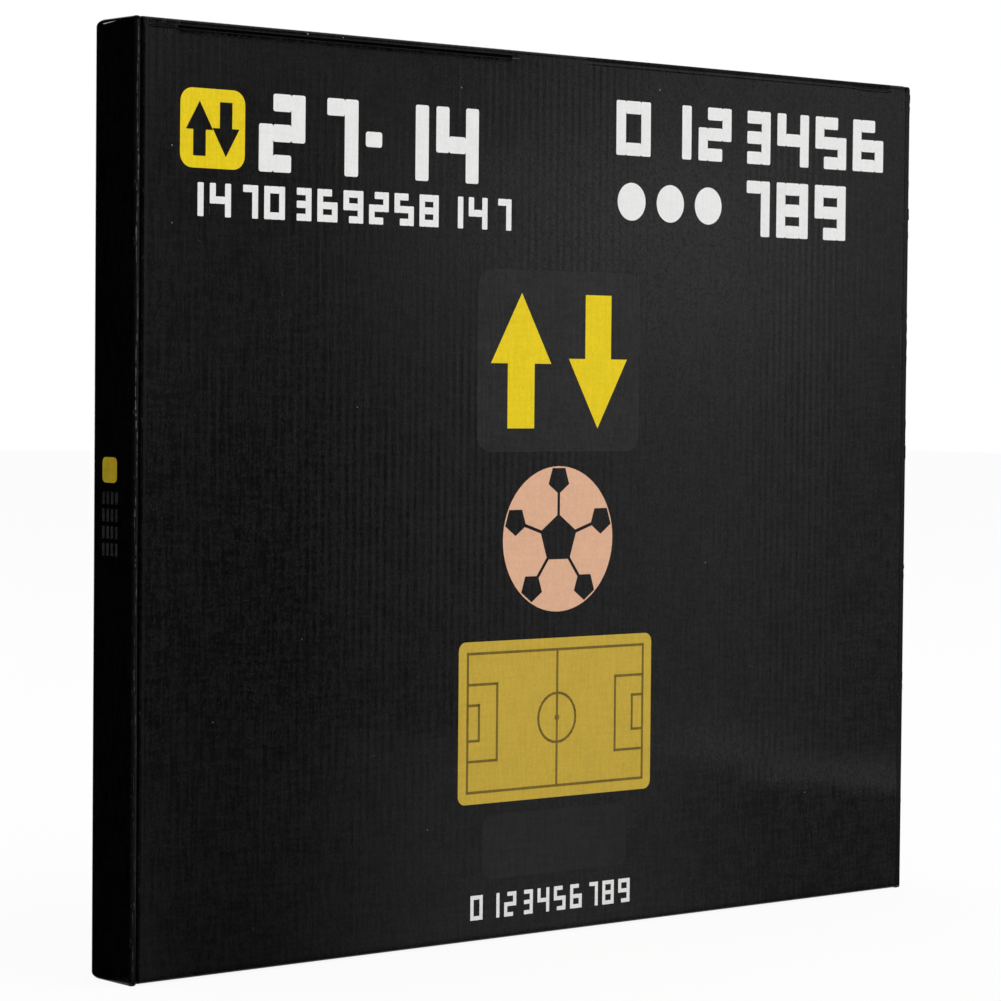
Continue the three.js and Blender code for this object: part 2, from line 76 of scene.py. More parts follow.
# Sizes read from the frame
HALF = (cad_high[0] - cad_low[0]) / 2
FRONT = cad_low[1]
BACK = cad_high[1]
TOP = cad_high[2]
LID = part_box("lid_panel")
LID_HALF = LID[1].x
LID_TOP = LID[1].z
LID_BOTTOM = LID[0].z
STRIP_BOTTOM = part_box("top_wall")[0].z
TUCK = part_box("tuck_flap")
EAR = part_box("lid_ear_left")
BOTTOM_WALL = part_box("bottom_wall")
CALIPER = BOTTOM_WALL[1].z
INNER_PLY_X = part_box("left_wall")[1].x

# Fine corrugated board: pitch of the flutes, thickness of its two liners and its wavy middle, how far the outer
# liner follows the flutes, and the spacing of points across them
PITCH = 3.23 * MM
LINER = 0.2 * MM
MEDIUM = 0.14 * MM
RELIEF = 0.011 * MM
STEP = PITCH / 6

# Room that the corner flaps take at either end of a side wall's inner ply, and the tabs on what is left of it
FLAP_ROOM = 61.8 * MM
TAB_WIDTH = 36 * MM
TAB_GAP = 0.3 * MM
TAB_CENTRES = tuple(TOP / 2 + side * 0.3 * (TOP - 2 * FLAP_ROOM) for side in (-1, 1))
TAB_INNER = 171 * MM
TAB_OUTER = 172.5 * MM

# How far behind the front its printed outside is wrapped, and half the length of the top and bottom walls
WRAPPED = 2.4 * MM
WALL_REACH = HALF - CALIPER - 0.15 * MM

# How much a fold's radius spares the board from being crushed, and how far its rubbing reaches
SPARING = 0.8
FOLD_WEAR = 1.2 * MM

# How far one level of ink stands out, and how deep it is rooted
INK_LIFT = 0.03 * MM
INK_ROOT = 0.02 * MM

# The photograph's camera, solved from the carton's edges: its axes are its right, up and back
CAMERA_PLACE = Vector((-0.77595, -0.8936, 0.18859))
CAMERA_AXES = ((0.761724, -0.647838, 0.009043), (0.014913, 0.031486, 0.999393), (-0.64773, -0.761127, 0.033645))
CAMERA_LENS = 123.05
CAMERA_AWAY = FRONT - CAMERA_PLACE.y

# Height of the cloths that only reflections see
CLOTH = 0.0003
WHITE = (1, 1, 1, 1)


def new_object(name, data):
    made = bpy.data.objects.new(name, data)
    scene.collection.objects.link(made)
    return made


def camera():
    """The photograph's camera."""
    data = bpy.data.cameras.new("camera")
    data.lens = CAMERA_LENS
    data.sensor_width = 36
    data.clip_start = 0.05
    data.clip_end = 60
    scene.camera = new_object("camera", data)
    scene.camera.matrix_world = Matrix.Translation(CAMERA_PLACE) @ Matrix(CAMERA_AXES).transposed().to_4x4()


# Shader helpers
def operator(operation):
    """An operator between two terms, or a term and a number, that makes a math node."""
    return lambda term, other: term.nodes.math(operation, term, other)


class Term:
    """An output of a shader node."""

    def __init__(self, nodes, socket):
        self.nodes = nodes
        self.socket = socket

    __add__ = operator("ADD")
    __sub__ = operator("SUBTRACT")
    __mul__ = operator("MULTIPLY")
    __truediv__ = operator("DIVIDE")

    def __rsub__(self, number):
        return self.nodes.math("SUBTRACT", number, self)


class Nodes:
    """The node tree of a material or of the world, with short calls for the nodes used here."""

    def __init__(self, owner):
        owner.use_nodes = True
        self.owner = owner
        self.tree = owner.node_tree
        self.output = next(node for node in self.tree.nodes if node.type.startswith("OUTPUT"))
        self.shader = self.output.inputs["Surface"].links[0].from_node
        self.coords = self.make("TexCoord", output="Object")

    def show(self, shader):
        """Makes a shader the one that the tree ends in."""
        self.put(self.output.inputs["Surface"], shader)

    def term(self, node, output=0):
        return Term(self, node.outputs[output])

    def put(self, socket, value):
        if isinstance(value, Term):
            self.tree.links.new(value.socket, socket)
        else:
            socket.default_value = value

    def make(self, kind, *values, output=0, **named):
        """An output of a new node. values go to its first inputs. Names in capitals are inputs, others settings."""
        node = self.tree.nodes.new("ShaderNode" + kind)
        for name, value in named.items():
            if name[0].isupper():
                self.put(node.inputs[name.replace("_", " ")], value)
            else:
                setattr(node, name, value)
        for socket, value in zip(node.inputs, values):
            self.put(socket, value)
        return self.term(node, output)

    def math(self, operation, a, b=0.0):
        return self.make("Math", a, b, operation=operation)

    def axis(self, name):
        return self.make("SeparateXYZ", self.coords, output=name)

    def scaled(self, *factors):
        return self.make("VectorMath", self.coords, factors, operation="MULTIPLY")

    def noise(self, scale, detail=2.0, roughness=0.5, vector=None):
        vector = vector or self.coords
        return self.make("TexNoise", Vector=vector, Scale=scale, Detail=detail, Roughness=roughness, output="Fac")

    def ramp(self, value, low, high, to_low=0.0, to_high=1.0):
        """A smooth step of a value, from to_low at low to to_high at high."""
        kind = "SMOOTHSTEP"
        return self.make("MapRange", value, low, high, to_low, to_high, interpolation_type=kind, output="Result")

    def mix(self, factor, a, b):
        node = self.make("Mix", factor, data_type="RGBA").socket.node
        for socket, value in zip((s for s in node.inputs if s.type == "RGBA"), (a, b)):
            self.put(socket, value)
        return Term(self, next(s for s in node.outputs if s.type == "RGBA"))

    def bumps(self, *layers):
        """The normal after bumps of (height, distance, strength), one over the other."""
        under = {}
        for height, distance, strength in layers:
            normal = self.make("Bump", Height=height, Distance=distance, Strength=strength, **under)
            under = {"Normal": normal}
        return normal

    def finish(self, base, roughness, **more):
        """Sets the material's shader, and gives the material."""
        for name, value in {"Base_Color": base, "Roughness": roughness, **more}.items():
            self.put(self.shader.inputs[name.replace("_", " ")], value)
        return self.owner


def material(name):
    return Nodes(bpy.data.materials.new(name))


def srgb(red, green, blue):
    """A colour read as sRGB levels from 0 to 255, as linear values with alpha."""
    levels = (red / 255, green / 255, blue / 255)
    linear = [v / 12.92 if v <= 0.04045 else ((v + 0.055) / 1.055) ** 2.4 for v in levels]
    return (*linear, 1.0)


def shades(colour, less, more):
    """A colour made darker and lighter, by a share each."""
    return tuple(c * less for c in colour[:3]) + (1.0,), tuple(min(1.0, c * more) for c in colour[:3]) + (1.0,)


def printed(name, colour, gloss_low=0.22, gloss_high=0.36, mottle=0.12, shine=0.17, right_sheen=1.0):
    """Ink and varnish on corrugated board: grain, streaks along and across the flutes, rubbed folds, pale specks.

    Its last argument, above 1, makes the ink's grain paler towards the right, where the front mirrors the brightest
    light: a painted sheen.
    """
    n = material(name)
    grain = n.noise(760.0, 3.0, 0.62)
    fine = n.noise(1700.0, 3.0, 0.62)
    upright_streaks = n.noise(950.0, 3.0, 0.6, n.scaled(1.0, 1.0, 0.1))
    lying_streaks = n.noise(620.0, 2.0, 0.55, n.scaled(0.16, 0.16, 1.0))
    cloud = n.noise(75.0, 4.0, 0.6)
    share = n.ramp(fine * 0.42 + upright_streaks * 0.3 + (lying_streaks * 0.16 + cloud * 0.12), 0.4, 0.6)
    # Painted sheen: the grain grows paler towards the right, where the front mirrors the brightest light
    if right_sheen > 1:
        share = share * n.ramp(n.axis("X"), -0.17, 0.06, 1 / right_sheen, 1.0)
    base = n.mix(share, *shades(colour, 1 - mottle, (1 + 2 * mottle) * right_sheen))
    wear = n.make("Attribute", attribute_name="wear", output="Fac")
    rubbed = n.ramp(n.noise(700.0, 4.0, 0.7, n.scaled(1.0, 1.0, 0.4)) + wear * 0.2, 0.78, 0.96)
    base = n.mix(rubbed * 0.3, base, srgb(104, 100, 95))
    cells = {"Vector": n.coords, "Scale": 110.0}
    distance, cell = (n.make("TexVoronoi", output=each, **cells) for each in ("Distance", "Color"))
    speck = n.math("LESS_THAN", distance, 0.03) * n.math("GREATER_THAN", cell, 0.94)
    base = n.mix(speck * 0.5, base, srgb(140, 140, 138))
    gloss = n.ramp(n.noise(28.0, 4.0, 0.6), 0.3, 0.72, gloss_low, gloss_high) + rubbed * 0.2
    weave = upright_streaks * 0.5 + lying_streaks * 0.5
    pits = n.ramp(grain * 0.6 + weave * 0.4, 0.53, 0.58)
    normal = n.bumps(
        (fine, 0.000008, 0.7),
        (n.noise(330.0, 3.0, 0.55), 0.000012, 0.8),
        (pits, -0.00003, 0.5),
        (upright_streaks, 0.00003, 0.7),
        (lying_streaks, 0.00001, 0.8),
    )
    return n.finish(base, gloss, Normal=normal, Specular_IOR_Level=shine)


def kraft(name):
    """Unprinted brown liner: fine fibres along the board, a soft cloud, a few darker flecks and the flutes' ribs."""
    n = material(name)
    fibres = n.noise(2600.0, 4.0, 0.65, n.scaled(1.0, 1.0, 0.22))
    clouds = n.noise(38.0, 5.0, 0.6)
    flecks = n.noise(1300.0, 2.0, 0.6, n.scaled(1.0, 1.0, 0.4))
    base = n.mix(n.ramp(fibres, 0.3, 0.7), srgb(158, 124, 88), srgb(186, 153, 115))
    base = n.mix(n.ramp(clouds, 0.35, 0.7, 0.0, 0.4), base, srgb(164, 131, 94))
    base = n.mix(n.ramp(flecks, 0.68, 0.8, 0.0, 0.45), base, srgb(104, 76, 50))
    ribs = n.math("SINE", n.axis("X") * (2 * math.pi / PITCH))
    normal = n.bumps((ribs, 0.00007, 0.6), (fibres, 0.00003, 0.6))
    return n.finish(base, n.ramp(clouds, 0.3, 0.7, 0.78, 0.92), Normal=normal, Specular_IOR_Level=0.2)


def moulded(name, colour, grain=0.00005, gloss=(0.42, 0.56)):
    """Moulded plastic with a fine spark-eroded grain."""
    n = material(name)
    cloud = n.noise(55.0, 3.0)
    base = n.mix(n.ramp(cloud, 0.3, 0.7), *shades(colour, 0.94, 1.06))
    scratches = n.noise(420.0, 2.0, 0.5, n.scaled(1.0, 1.0, 0.05))
    rough = n.ramp(cloud + scratches * 0.3, 0.4, 0.9, *gloss)
    normal = n.bumps((n.noise(2600.0, 2.0, 0.6), grain, 0.7))
    return n.finish(base, rough, Normal=normal, Specular_IOR_Level=0.4)


def fluorescent(name, colour):
    """Matt fluorescent sheet, slightly uneven, with a faint weave of micro lines."""
    n = material(name)
    cloud = n.noise(35.0, 4.0, 0.55)
    deep = (colour[0] * 0.9, colour[1] * 0.87, colour[2] * 0.7, 1.0)
    base = n.mix(n.ramp(cloud, 0.3, 0.72), deep, colour)
    return n.finish(base, n.ramp(cloud, 0.3, 0.7, 0.48, 0.62), Normal=n.bumps((n.noise(1900.0), 0.00003, 0.5)))


def plated(name):
    """Zinc plated steel with a soft blotch and fine turning marks."""
    n = material(name)
    blotch = n.noise(600.0, 3.0, 0.6)
    turning = n.noise(2500.0, 2.0, 0.5, n.scaled(1.0, 1.0, 6.0))
    base = n.mix(n.ramp(blotch, 0.3, 0.7), srgb(150, 151, 152), srgb(196, 197, 198))
    normal = n.bumps((turning, 0.00003, 0.5))
    return n.finish(base, n.ramp(blotch, 0.3, 0.7, 0.24, 0.42), Normal=normal, Metallic=1.0)


# The black print, its grain painted paler towards the right as a sheen of the light mirrored there
INK_BLACK = printed("ink_black", (0.0018, 0.0018, 0.0019, 1.0), 0.03, 0.06, 0.85, 0.17, 1.9)
# A darker copy of the black print for the side walls and rims: painted shade
INK_SHADED_SIDES = printed("ink_black_shaded_sides", (0.0008, 0.0008, 0.0008, 1.0), 0.15, 0.27, 0.6)
INK_CRUSHED = printed("ink_crushed", (0.0026, 0.0026, 0.0027, 1.0), 0.42, 0.55, 0.9, 0.07)
# Near-black, dull ink: painted shade for the deep hinge crease and for the gaps round the tabs
PAINTED_SHADE_INK = printed("painted_shade_black", (0.0006, 0.0006, 0.0006, 1.0), 0.5, 0.6, 0.5, 0.03)
KRAFT = kraft("kraft_liner")
BOARD_BLACK = moulded("board_black", srgb(30, 31, 33))
SHUTTER_GREY = moulded("shutter_grey", srgb(52, 52, 54), 0.00003, (0.34, 0.46))
YELLOW_SHEET = fluorescent("yellow_sheet", srgb(226, 222, 44))
RED_SHEET = fluorescent("red_sheet", srgb(226, 66, 38))
SCREW_STEEL = plated("screw_steel")


# How far from each end of a run its closest rows of points are, in millimetres
NEAR_ENDS = np.array((0, 0.03, 0.1, 0.2, 0.32, 0.45, 0.7, 1.0, 1.6, 2.6))


# Folded board: a path of points with outward normals, run along a straight line, in three layers
class Path:
    """Points of a folded board's outer face in a plane, made of straight runs and arcs.

    The board's outside is to the left of the way the path runs. Tight arcs crush the board.
    """

    def __init__(self, start):
        self.points = [Vector(start)]
        self.crush = [1.0]
        self.folds = []

    def line(self, to, step=STEP):
        start = self.points[-1].copy()
        end = Vector(to)
        count = max(1, round((end - start).length / step))
        for i in range(1, count + 1):
            self.points.append(start.lerp(end, i / count))
            self.crush.append(1.0)
        return self

    def arc(self, radius, start, steps=6):
        """A quarter turn clockwise, whose first point is at an angle from its centre."""
        crush = min(1.0, SPARING * radius / CALIPER)
        self.crush[-1] = min(self.crush[-1], crush)
        self.folds.append(len(self.points) - 1 + steps // 2)
        angles = [math.radians(start - 90 * i / steps) for i in range(steps + 1)]
        spokes = [radius * Vector((math.cos(angle), math.sin(angle))) for angle in angles]
        centre = self.points[-1] - spokes[0]
        self.points += [centre + spoke for spoke in spokes[1:]]
        self.crush += [crush] * steps
        return self

    def mirrored(self, other):
        """The path followed by the mirror image, in the first axis, of another that ends at the same middle."""
        last = len(self.points) + len(other.points) - 2
        self.points += [Vector((-p.x, p.y)) for p in reversed(other.points[:-1])]
        self.crush += list(reversed(other.crush[:-1]))
        self.folds += [last - f for f in other.folds]
        return self

    def measured(self):
        """Points, outward normals, distances along the path and how far the board is crushed."""
        points = np.array([tuple(p) for p in self.points])
        steps = np.diff(points, axis=0)
        lengths = np.linalg.norm(steps, axis=1)
        units = steps / lengths[:, None]
        tangents = np.vstack([units[:1], units[:-1] + units[1:], units[-1:]])
        tangents /= np.linalg.norm(tangents, axis=1)[:, None]
        normals = np.column_stack([-tangents[:, 1], tangents[:, 0]])
        return points, normals, np.concatenate([[0.0], np.cumsum(lengths)]), np.array(self.crush)


def slab(vertices, faces, outer, inner, kinds, flip):
    """Appends a closed sheet between two grids of points, each (rows, columns, 3).

    kinds gives the material index of its outer face, inner face, run ends and path ends.
    """
    rows, columns = outer.shape[:2]
    base = len(vertices)
    vertices.extend(outer.reshape(-1, 3).tolist())
    vertices.extend(inner.reshape(-1, 3).tolist())
    grid = base + np.arange(rows * columns).reshape(rows, columns)
    back = grid + rows * columns

    def put(a, b, c, d, kind):
        quads = np.stack([a, b, c, d], axis=-1).reshape(-1, 4)
        if flip:
            quads = quads[:, ::-1]
        faces.extend((tuple(q), kind) for q in quads.tolist())

    put(grid[:-1, :-1], grid[:-1, 1:], grid[1:, 1:], grid[1:, :-1], kinds[0])
    put(back[1:, :-1], back[1:, 1:], back[:-1, 1:], back[:-1, :-1], kinds[1])
    put(back[0, :-1], back[0, 1:], grid[0, 1:], grid[0, :-1], kinds[2])
    put(grid[-1, :-1], grid[-1, 1:], back[-1, 1:], back[-1, :-1], kinds[2])
    put(grid[:-1, 0], grid[1:, 0], back[1:, 0], back[:-1, 0], kinds[3])
    put(back[:-1, -1], back[1:, -1], grid[1:, -1], grid[:-1, -1], kinds[3])


def mesh_object(name, vertices, faces, materials, wear=None, smooth_angle=40):
    """A mesh object whose faces carry a material index, shaded smooth up to an angle."""
    mesh = bpy.data.meshes.new(name)
    mesh.from_pydata(vertices, [], [f for f, _ in faces])
    for each in materials:
        mesh.materials.append(each)
    mesh.polygons.foreach_set("material_index", [m for _, m in faces])
    mesh.polygons.foreach_set("use_smooth", [True] * len(faces))
    mesh.update()
    mesh.set_sharp_from_angle(angle=math.radians(smooth_angle))
    if wear is not None:
        layer = mesh.attributes.new("wear", "FLOAT", "POINT")
        layer.data.foreach_set("value", np.asarray(wear, np.float32))
    return new_object(name, mesh)


def face_outward(made):
    """Turns the faces of a mesh's closed shapes outward."""
    mesh = bmesh.new()
    mesh.from_mesh(made.data)
    bmesh.ops.recalc_face_normals(mesh, faces=mesh.faces[:])
    mesh.to_mesh(made.data)
    mesh.free()


def noise_sum(a, b, waves):
    """Sum of noise at each pair of places a and b. Each wave is a weight, a frequency along a and b, and a seed."""
    a, b = np.broadcast_arrays(np.asarray(a, float), np.asarray(b, float))
    found = np.empty(a.size)
    for i, (x, z) in enumerate(zip(a.ravel().tolist(), b.ravel().tolist())):
        found[i] = sum(weight * noise.noise(Vector((x * p, z * q, seed))) for weight, p, q, seed in waves)
    return found.reshape(a.shape)


def soft_noise(a, b, seed):
    """Long soft waves of a panel, in metres, at each pair of places a and b."""
    return noise_sum(a, b, ((0.16, 9.0, 7.0, seed), (0.05, 26.0, 17.0, seed + 5.6))) * MM


def rise(value, reach):
    """0 at 0 or less and 1 from reach up, smooth between."""
    share = np.clip(value / reach, 0, 1)
    return share * share * (3 - 2 * share)


def flute_wave(distance):
    return np.cos(2 * math.pi * distance / PITCH)


def washboard(across, along):
    """How far the outer liner stands out over the flutes at each place: their print-through comes and goes."""
    share = 0.8 + noise_sum(across, along, ((1.0, 21.0, 11.0, 4.9), (0.7, 190.0, 34.0, 17.3)))
    return RELIEF * np.maximum(share, 0) * flute_wave(across)


def folded_board(
    name, path, place, lows, highs, rows, flutes_follow, soft=None, dip=None, wrap=(0, 0), ends=(1, 1), inks=()
):
    """Corrugated board folded along a path: outer liner, wavy medium and inner liner, each a closed sheet.

    place(u, v, w) puts the path's point (u, v) at distance w along the run. lows and highs are the ends of the
    run at each point of the path, and rows is the number of rows of points between them. soft and dip give how
    far the face stands out and in, at u, v and w. wrap is the radius over which the outer liner is drawn in at
    the run's two ends, and ends the material index of the run's and the path's ends. inks are the outer face's
    ink and any more that blacken() gives to some of its faces.
    """
    points, normals, distance, crush = path.measured()
    lows = np.broadcast_to(np.asarray(lows, float), distance.shape)
    highs = np.broadcast_to(np.asarray(highs, float), distance.shape)
    near = NEAR_ENDS * MM
    middle_rows = np.linspace(0, 1, rows)[1:-1, None]
    first, last = lows + near[-1], highs - near[-1]
    run = np.vstack([lows + near[:, None], first + (last - first) * middle_rows, highs - near[::-1, None]])
    u, v = points[:, 0], points[:, 1]
    facing_v = np.abs(normals[:, 1]) > np.abs(normals[:, 0])
    if flutes_follow == "run":
        across = np.broadcast_to(np.where(facing_v, u, v), run.shape)
        ribs = washboard(across, run)
    else:
        across = run
        ribs = washboard(run, np.broadcast_to(u + v, run.shape))
    crest = flute_wave(across)
    out = np.zeros(run.shape) if soft is None else soft(u, v, run)
    into = np.zeros(run.shape) if dip is None else dip(u, v, run)
    for radius, apart in zip(wrap, (run - lows, highs - run)):
        if radius:
            inside = np.clip(radius - apart, 0, radius)
            into = into + radius - np.sqrt(np.clip(radius ** 2 - inside ** 2, 0, None))

    def layer(depth, along=run):
        depth = depth * crush - out
        return np.stack(place(u - normals[:, 0] * depth, v - normals[:, 1] * depth, along), axis=-1)

    swing = (CALIPER / 2 - LINER - MEDIUM / 2) * crest
    flat = np.zeros(run.shape)
    outside = into - ribs
    sample = layer(flat)
    along = sample[0, -1] - sample[0, -2]
    up = sample[1, -1] - sample[0, -1]
    away = layer(flat - MM)[0, -1] - sample[0, -1]
    flip = float(np.dot(np.cross(along, up), away)) < 0
    share = (run - lows) / (highs - lows)
    tucked = lows + 0.9 * wrap[0] + share * (highs - lows - 0.9 * (wrap[0] + wrap[1]))
    vertices, faces = [], []
    slab(vertices, faces, layer(outside), layer(np.maximum(outside, 0) + LINER), (0, 1, *ends), flip)
    middle = np.maximum(CALIPER / 2 - swing, np.maximum(outside, 0) + LINER + MEDIUM / 2)
    slab(vertices, faces, layer(middle - MEDIUM / 2, tucked), layer(middle + MEDIUM / 2, tucked), (1, 1, *ends), flip)
    slab(vertices, faces, layer(flat + CALIPER - LINER, tucked), layer(flat + CALIPER, tucked), (1, 1, *ends), flip)
    wear = np.zeros(run.shape)
    for index in path.folds:
        wear = np.maximum(wear, np.exp(-(((distance - distance[index]) / FOLD_WEAR) ** 2)))
    wear = np.maximum(wear, 0.8 * np.exp(-((np.minimum(run - lows, highs - run) / MM) ** 2)))
    first_ink, *more = inks or (INK_BLACK,)
    return mesh_object(name, vertices, faces, [first_ink, KRAFT, *more], np.tile(wear.ravel(), 6))


def blacken(board, test, index=0):
    """Inks the faces of a board whose middle passes a test, such as an edge drawn round at a corner."""
    for face in board.data.polygons:
        if test(face.center):
            face.material_index = index


def upright(u, v, w):
    return np.broadcast_arrays(u, v, w)


def lying(u, v, w):
    return np.broadcast_arrays(w, u, v)


# Radii of the rims' two folds, outside and inside, and of the other folds; gaps, lips and rounded corners
LEFT_RIM = (1.2 * MM, 1.4 * MM)
RIGHT_RIM = (0.8 * MM, 0.14 * MM)
BACK_RADIUS = 1.8 * MM
TOP_RADIUS = 1.3 * MM
LID_FOLD = 1.0 * MM
LEFT_FOLD = 1.3 * MM
RIGHT_FOLD = 0.16 * MM
RIGHT_GAP = 0.06 * MM
LID_FOOT = 0.45 * MM
GROOVE = 0.8 * MM
BOTTOM_LIP = 0.9 * MM
LIP_BACK = 1.4 * MM
CORNER = 2.9 * MM
CORNER_REACH = 4.8 * MM


def tray():
    """Side walls, their rims and inner plies, and the back panel: one board folded round upright creases."""
    def side(outside, inside):
        half = Path((INNER_PLY_X, BACK - CALIPER - 0.3 * MM)).line((INNER_PLY_X, FRONT + inside)).arc(inside, 0, 8)
        half.line((-HALF + outside, FRONT)).arc(outside, 270, 8)
        return half.line((-HALF, BACK - BACK_RADIUS)).arc(BACK_RADIUS, 180).line((0, BACK))

    path = side(*LEFT_RIM).mirrored(side(*RIGHT_RIM))
    points = path.measured()[0]
    x, y = points[:, 0], points[:, 1]
    inner = (np.abs(x) < HALF - CALIPER) & (y > FRONT + LEFT_RIM[1] * 1.01) & (y < BACK - CALIPER)
    behind = np.clip((y - (BACK - CORNER_REACH)) / CORNER_REACH, 0, 1)
    drop = CORNER * (1 - np.sqrt(1 - behind ** 2))
    right_drop, right_reach = 0.8 * MM, 3 * MM
    before = np.where(x > HALF - 4 * MM, np.clip((FRONT + right_reach - y) / right_reach, 0, 1), 0)
    drop = drop + right_drop * (1 - np.sqrt(1 - before ** 2))
    lows = np.where(inner, FLAP_ROOM, drop)
    highs = TOP - lows

    def soft(u, v, w):
        on_side = 0.35 * rise(np.abs(u) - HALF + MM, MM)
        spread = np.where(v > BACK - 0.1 * MM, rise(HALF - np.abs(u), 30 * MM), on_side)
        ends = rise(np.minimum(w, TOP - w), 20 * MM)
        return soft_noise(u + 3 * v, w, 41.0) * spread * (0.2 + 0.8 * ends)

    # The side walls and rims take the darker copy of the black print, as painted shade; the back panel takes the
    # front's
    rows, wrap, inks = 36, (0.7 * MM, MM), (INK_SHADED_SIDES, INK_BLACK)
    made = folded_board("tray_board", path, upright, lows, highs, rows, "run", soft, None, wrap, (0, 1), inks)
    blacken(made, lambda c: c.y < FRONT + WRAPPED)
    blacken(made, lambda c: c.y > BACK - 0.3 * MM, 2)
    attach(made, "carton_and_frame")
    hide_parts("left_wall", "right_wall", "back_panel")


def groove_depth(x):
    """How deep the hinge crease is pressed: less by the left corner, not in the middle, hardly on the right."""
    from_left = np.asarray(x) + HALF
    pressed = 0.35 * rise(from_left - 4.5 * MM, 3 * MM) + 0.65 * rise(from_left - 15 * MM, 3 * MM)
    pressed = pressed * (1 - 0.93 * rise(from_left - 180 * MM, 3 * MM)) + 0.3 * rise(from_left - 318 * MM, 12 * MM)
    spared = rise(from_left - 152 * MM, 3 * MM) * rise(189 * MM - from_left, 3 * MM)
    return pressed * (1 - spared) * rise(340 * MM - from_left, 3 * MM)


def in_deep_crease(x):
    """Whether the hinge crease is so sharp at x that no light comes out of it."""
    return groove_depth(x) > 0.5


def top_board():
    """Top wall: the strip over the hinge crease, the front fold, the wall itself and the fold to the back."""
    path = Path((FRONT + GROOVE, STRIP_BOTTOM)).arc(GROOVE, 270, 4)
    path.line((FRONT, TOP - TOP_RADIUS)).arc(TOP_RADIUS, 180, 8)
    path.line((BACK - CORNER, TOP), STEP * 1.5).arc(CORNER, 90, 8)
    points = path.measured()[0]
    reach = np.where(points[:, 0] < FRONT + 2.6 * MM, LID_HALF, WALL_REACH)
    count = round(2 * LID_HALF / STEP)

    def soft(u, v, w):
        return 0.6 * soft_noise(w, u + v, 12.0) * rise(HALF - np.abs(w), 25 * MM)

    def crushed(place):
        """Whether the fold over the front is crushed dull there: on the right, and further down by the corner."""
        down_to = 2.05 + 0.35 * float(rise(place.x - 143 * MM, 14 * MM))
        on_right = 12 * MM < place.x < 164 * MM
        return on_right and place.y < FRONT + 0.9 * MM and place.z > TOP - down_to * MM

    wrap, inks = (0.5 * MM, 0.5 * MM), (INK_BLACK, INK_CRUSHED, PAINTED_SHADE_INK)
    made = folded_board("top_board", path, lying, -reach, reach, count, "path", soft, None, wrap, (0, 0), inks)
    blacken(made, lambda c: c.y < FRONT + WRAPPED or abs(c.x) > LID_HALF - 2 * MM)
    blacken(made, crushed, 2)
    # Painted shade at the foot of the strip where the hinge crease is pressed deep
    blacken(made, lambda c: c.z < STRIP_BOTTOM + 0.3 * MM and in_deep_crease(c.x), 3)
    frayed_width, frayed_depth, most_frayed = 38 * MM, 2 * MM, 1.5
    for point, value in zip(made.data.vertices, made.data.attributes["wear"].data):
        from_left, behind = point.co.x + HALF, max(0.0, point.co.y - FRONT)
        frayed = math.exp(-((from_left / frayed_width) ** 2)) * math.exp(-((behind / frayed_depth) ** 2))
        value.value = max(value.value, most_frayed * frayed)
    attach(made, "carton_and_frame")
    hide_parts("top_wall")


def bottom_board():
    """Bottom wall, with the fold to the back and its front edge drawn up behind the tuck flap."""
    lip = BOTTOM_WALL[0].y + LIP_BACK + BOTTOM_LIP
    path = Path((BACK, CORNER)).arc(CORNER, 0, 8).line((lip, 0), STEP * 1.5).arc(BOTTOM_LIP, 270)
    count = round(2 * WALL_REACH / STEP)
    made = folded_board("bottom_board", path, lying, -WALL_REACH, WALL_REACH, count, "path", ends=(0, 0))
    blacken(made, lambda c: c.y < lip + 2 * MM)
    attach(made, "carton_and_frame")
    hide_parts("bottom_wall")


def on_lid_front(v):
    """1 for points of the lid's front and 0 for those of its folds and ears."""
    return np.where(v < FRONT + 0.2 * MM, 1.0, 0.0)


def lid_soft(u, v, w):
    """How far the lid's front stands out at u across and w up: soft waves, and dished next to its left edge."""
    from_end, from_left = np.minimum(w - LID_BOTTOM, LID_TOP - w), u + LID_HALF
    waves = soft_noise(u, w, 3.1) * rise(LID_HALF - np.abs(u), 34 * MM) * rise(from_end, 26 * MM)
    dished = 0.26 * MM * rise(from_left, 14 * MM) * (1 - rise(from_left - 14 * MM, 70 * MM))
    return (waves - dished * rise(from_end, 70 * MM)) * on_lid_front(v)


def lid_dip(u, v, w):
    """How far the lid's front is pressed in beside the hinge crease."""
    below, radius, shoulder_ends = (LID_TOP - w) / MM, 0.8, 0.85
    inside = (shoulder_ends - below).clip(0, radius)
    shoulder = np.where(below < shoulder_ends, radius - np.sqrt(np.clip(radius ** 2 - inside ** 2, 0, 1)), 0.0)
    pressed = 0.16 * np.exp(-((below / 2.2) ** 2))
    return (shoulder + pressed) * MM * groove_depth(u) * on_lid_front(v)


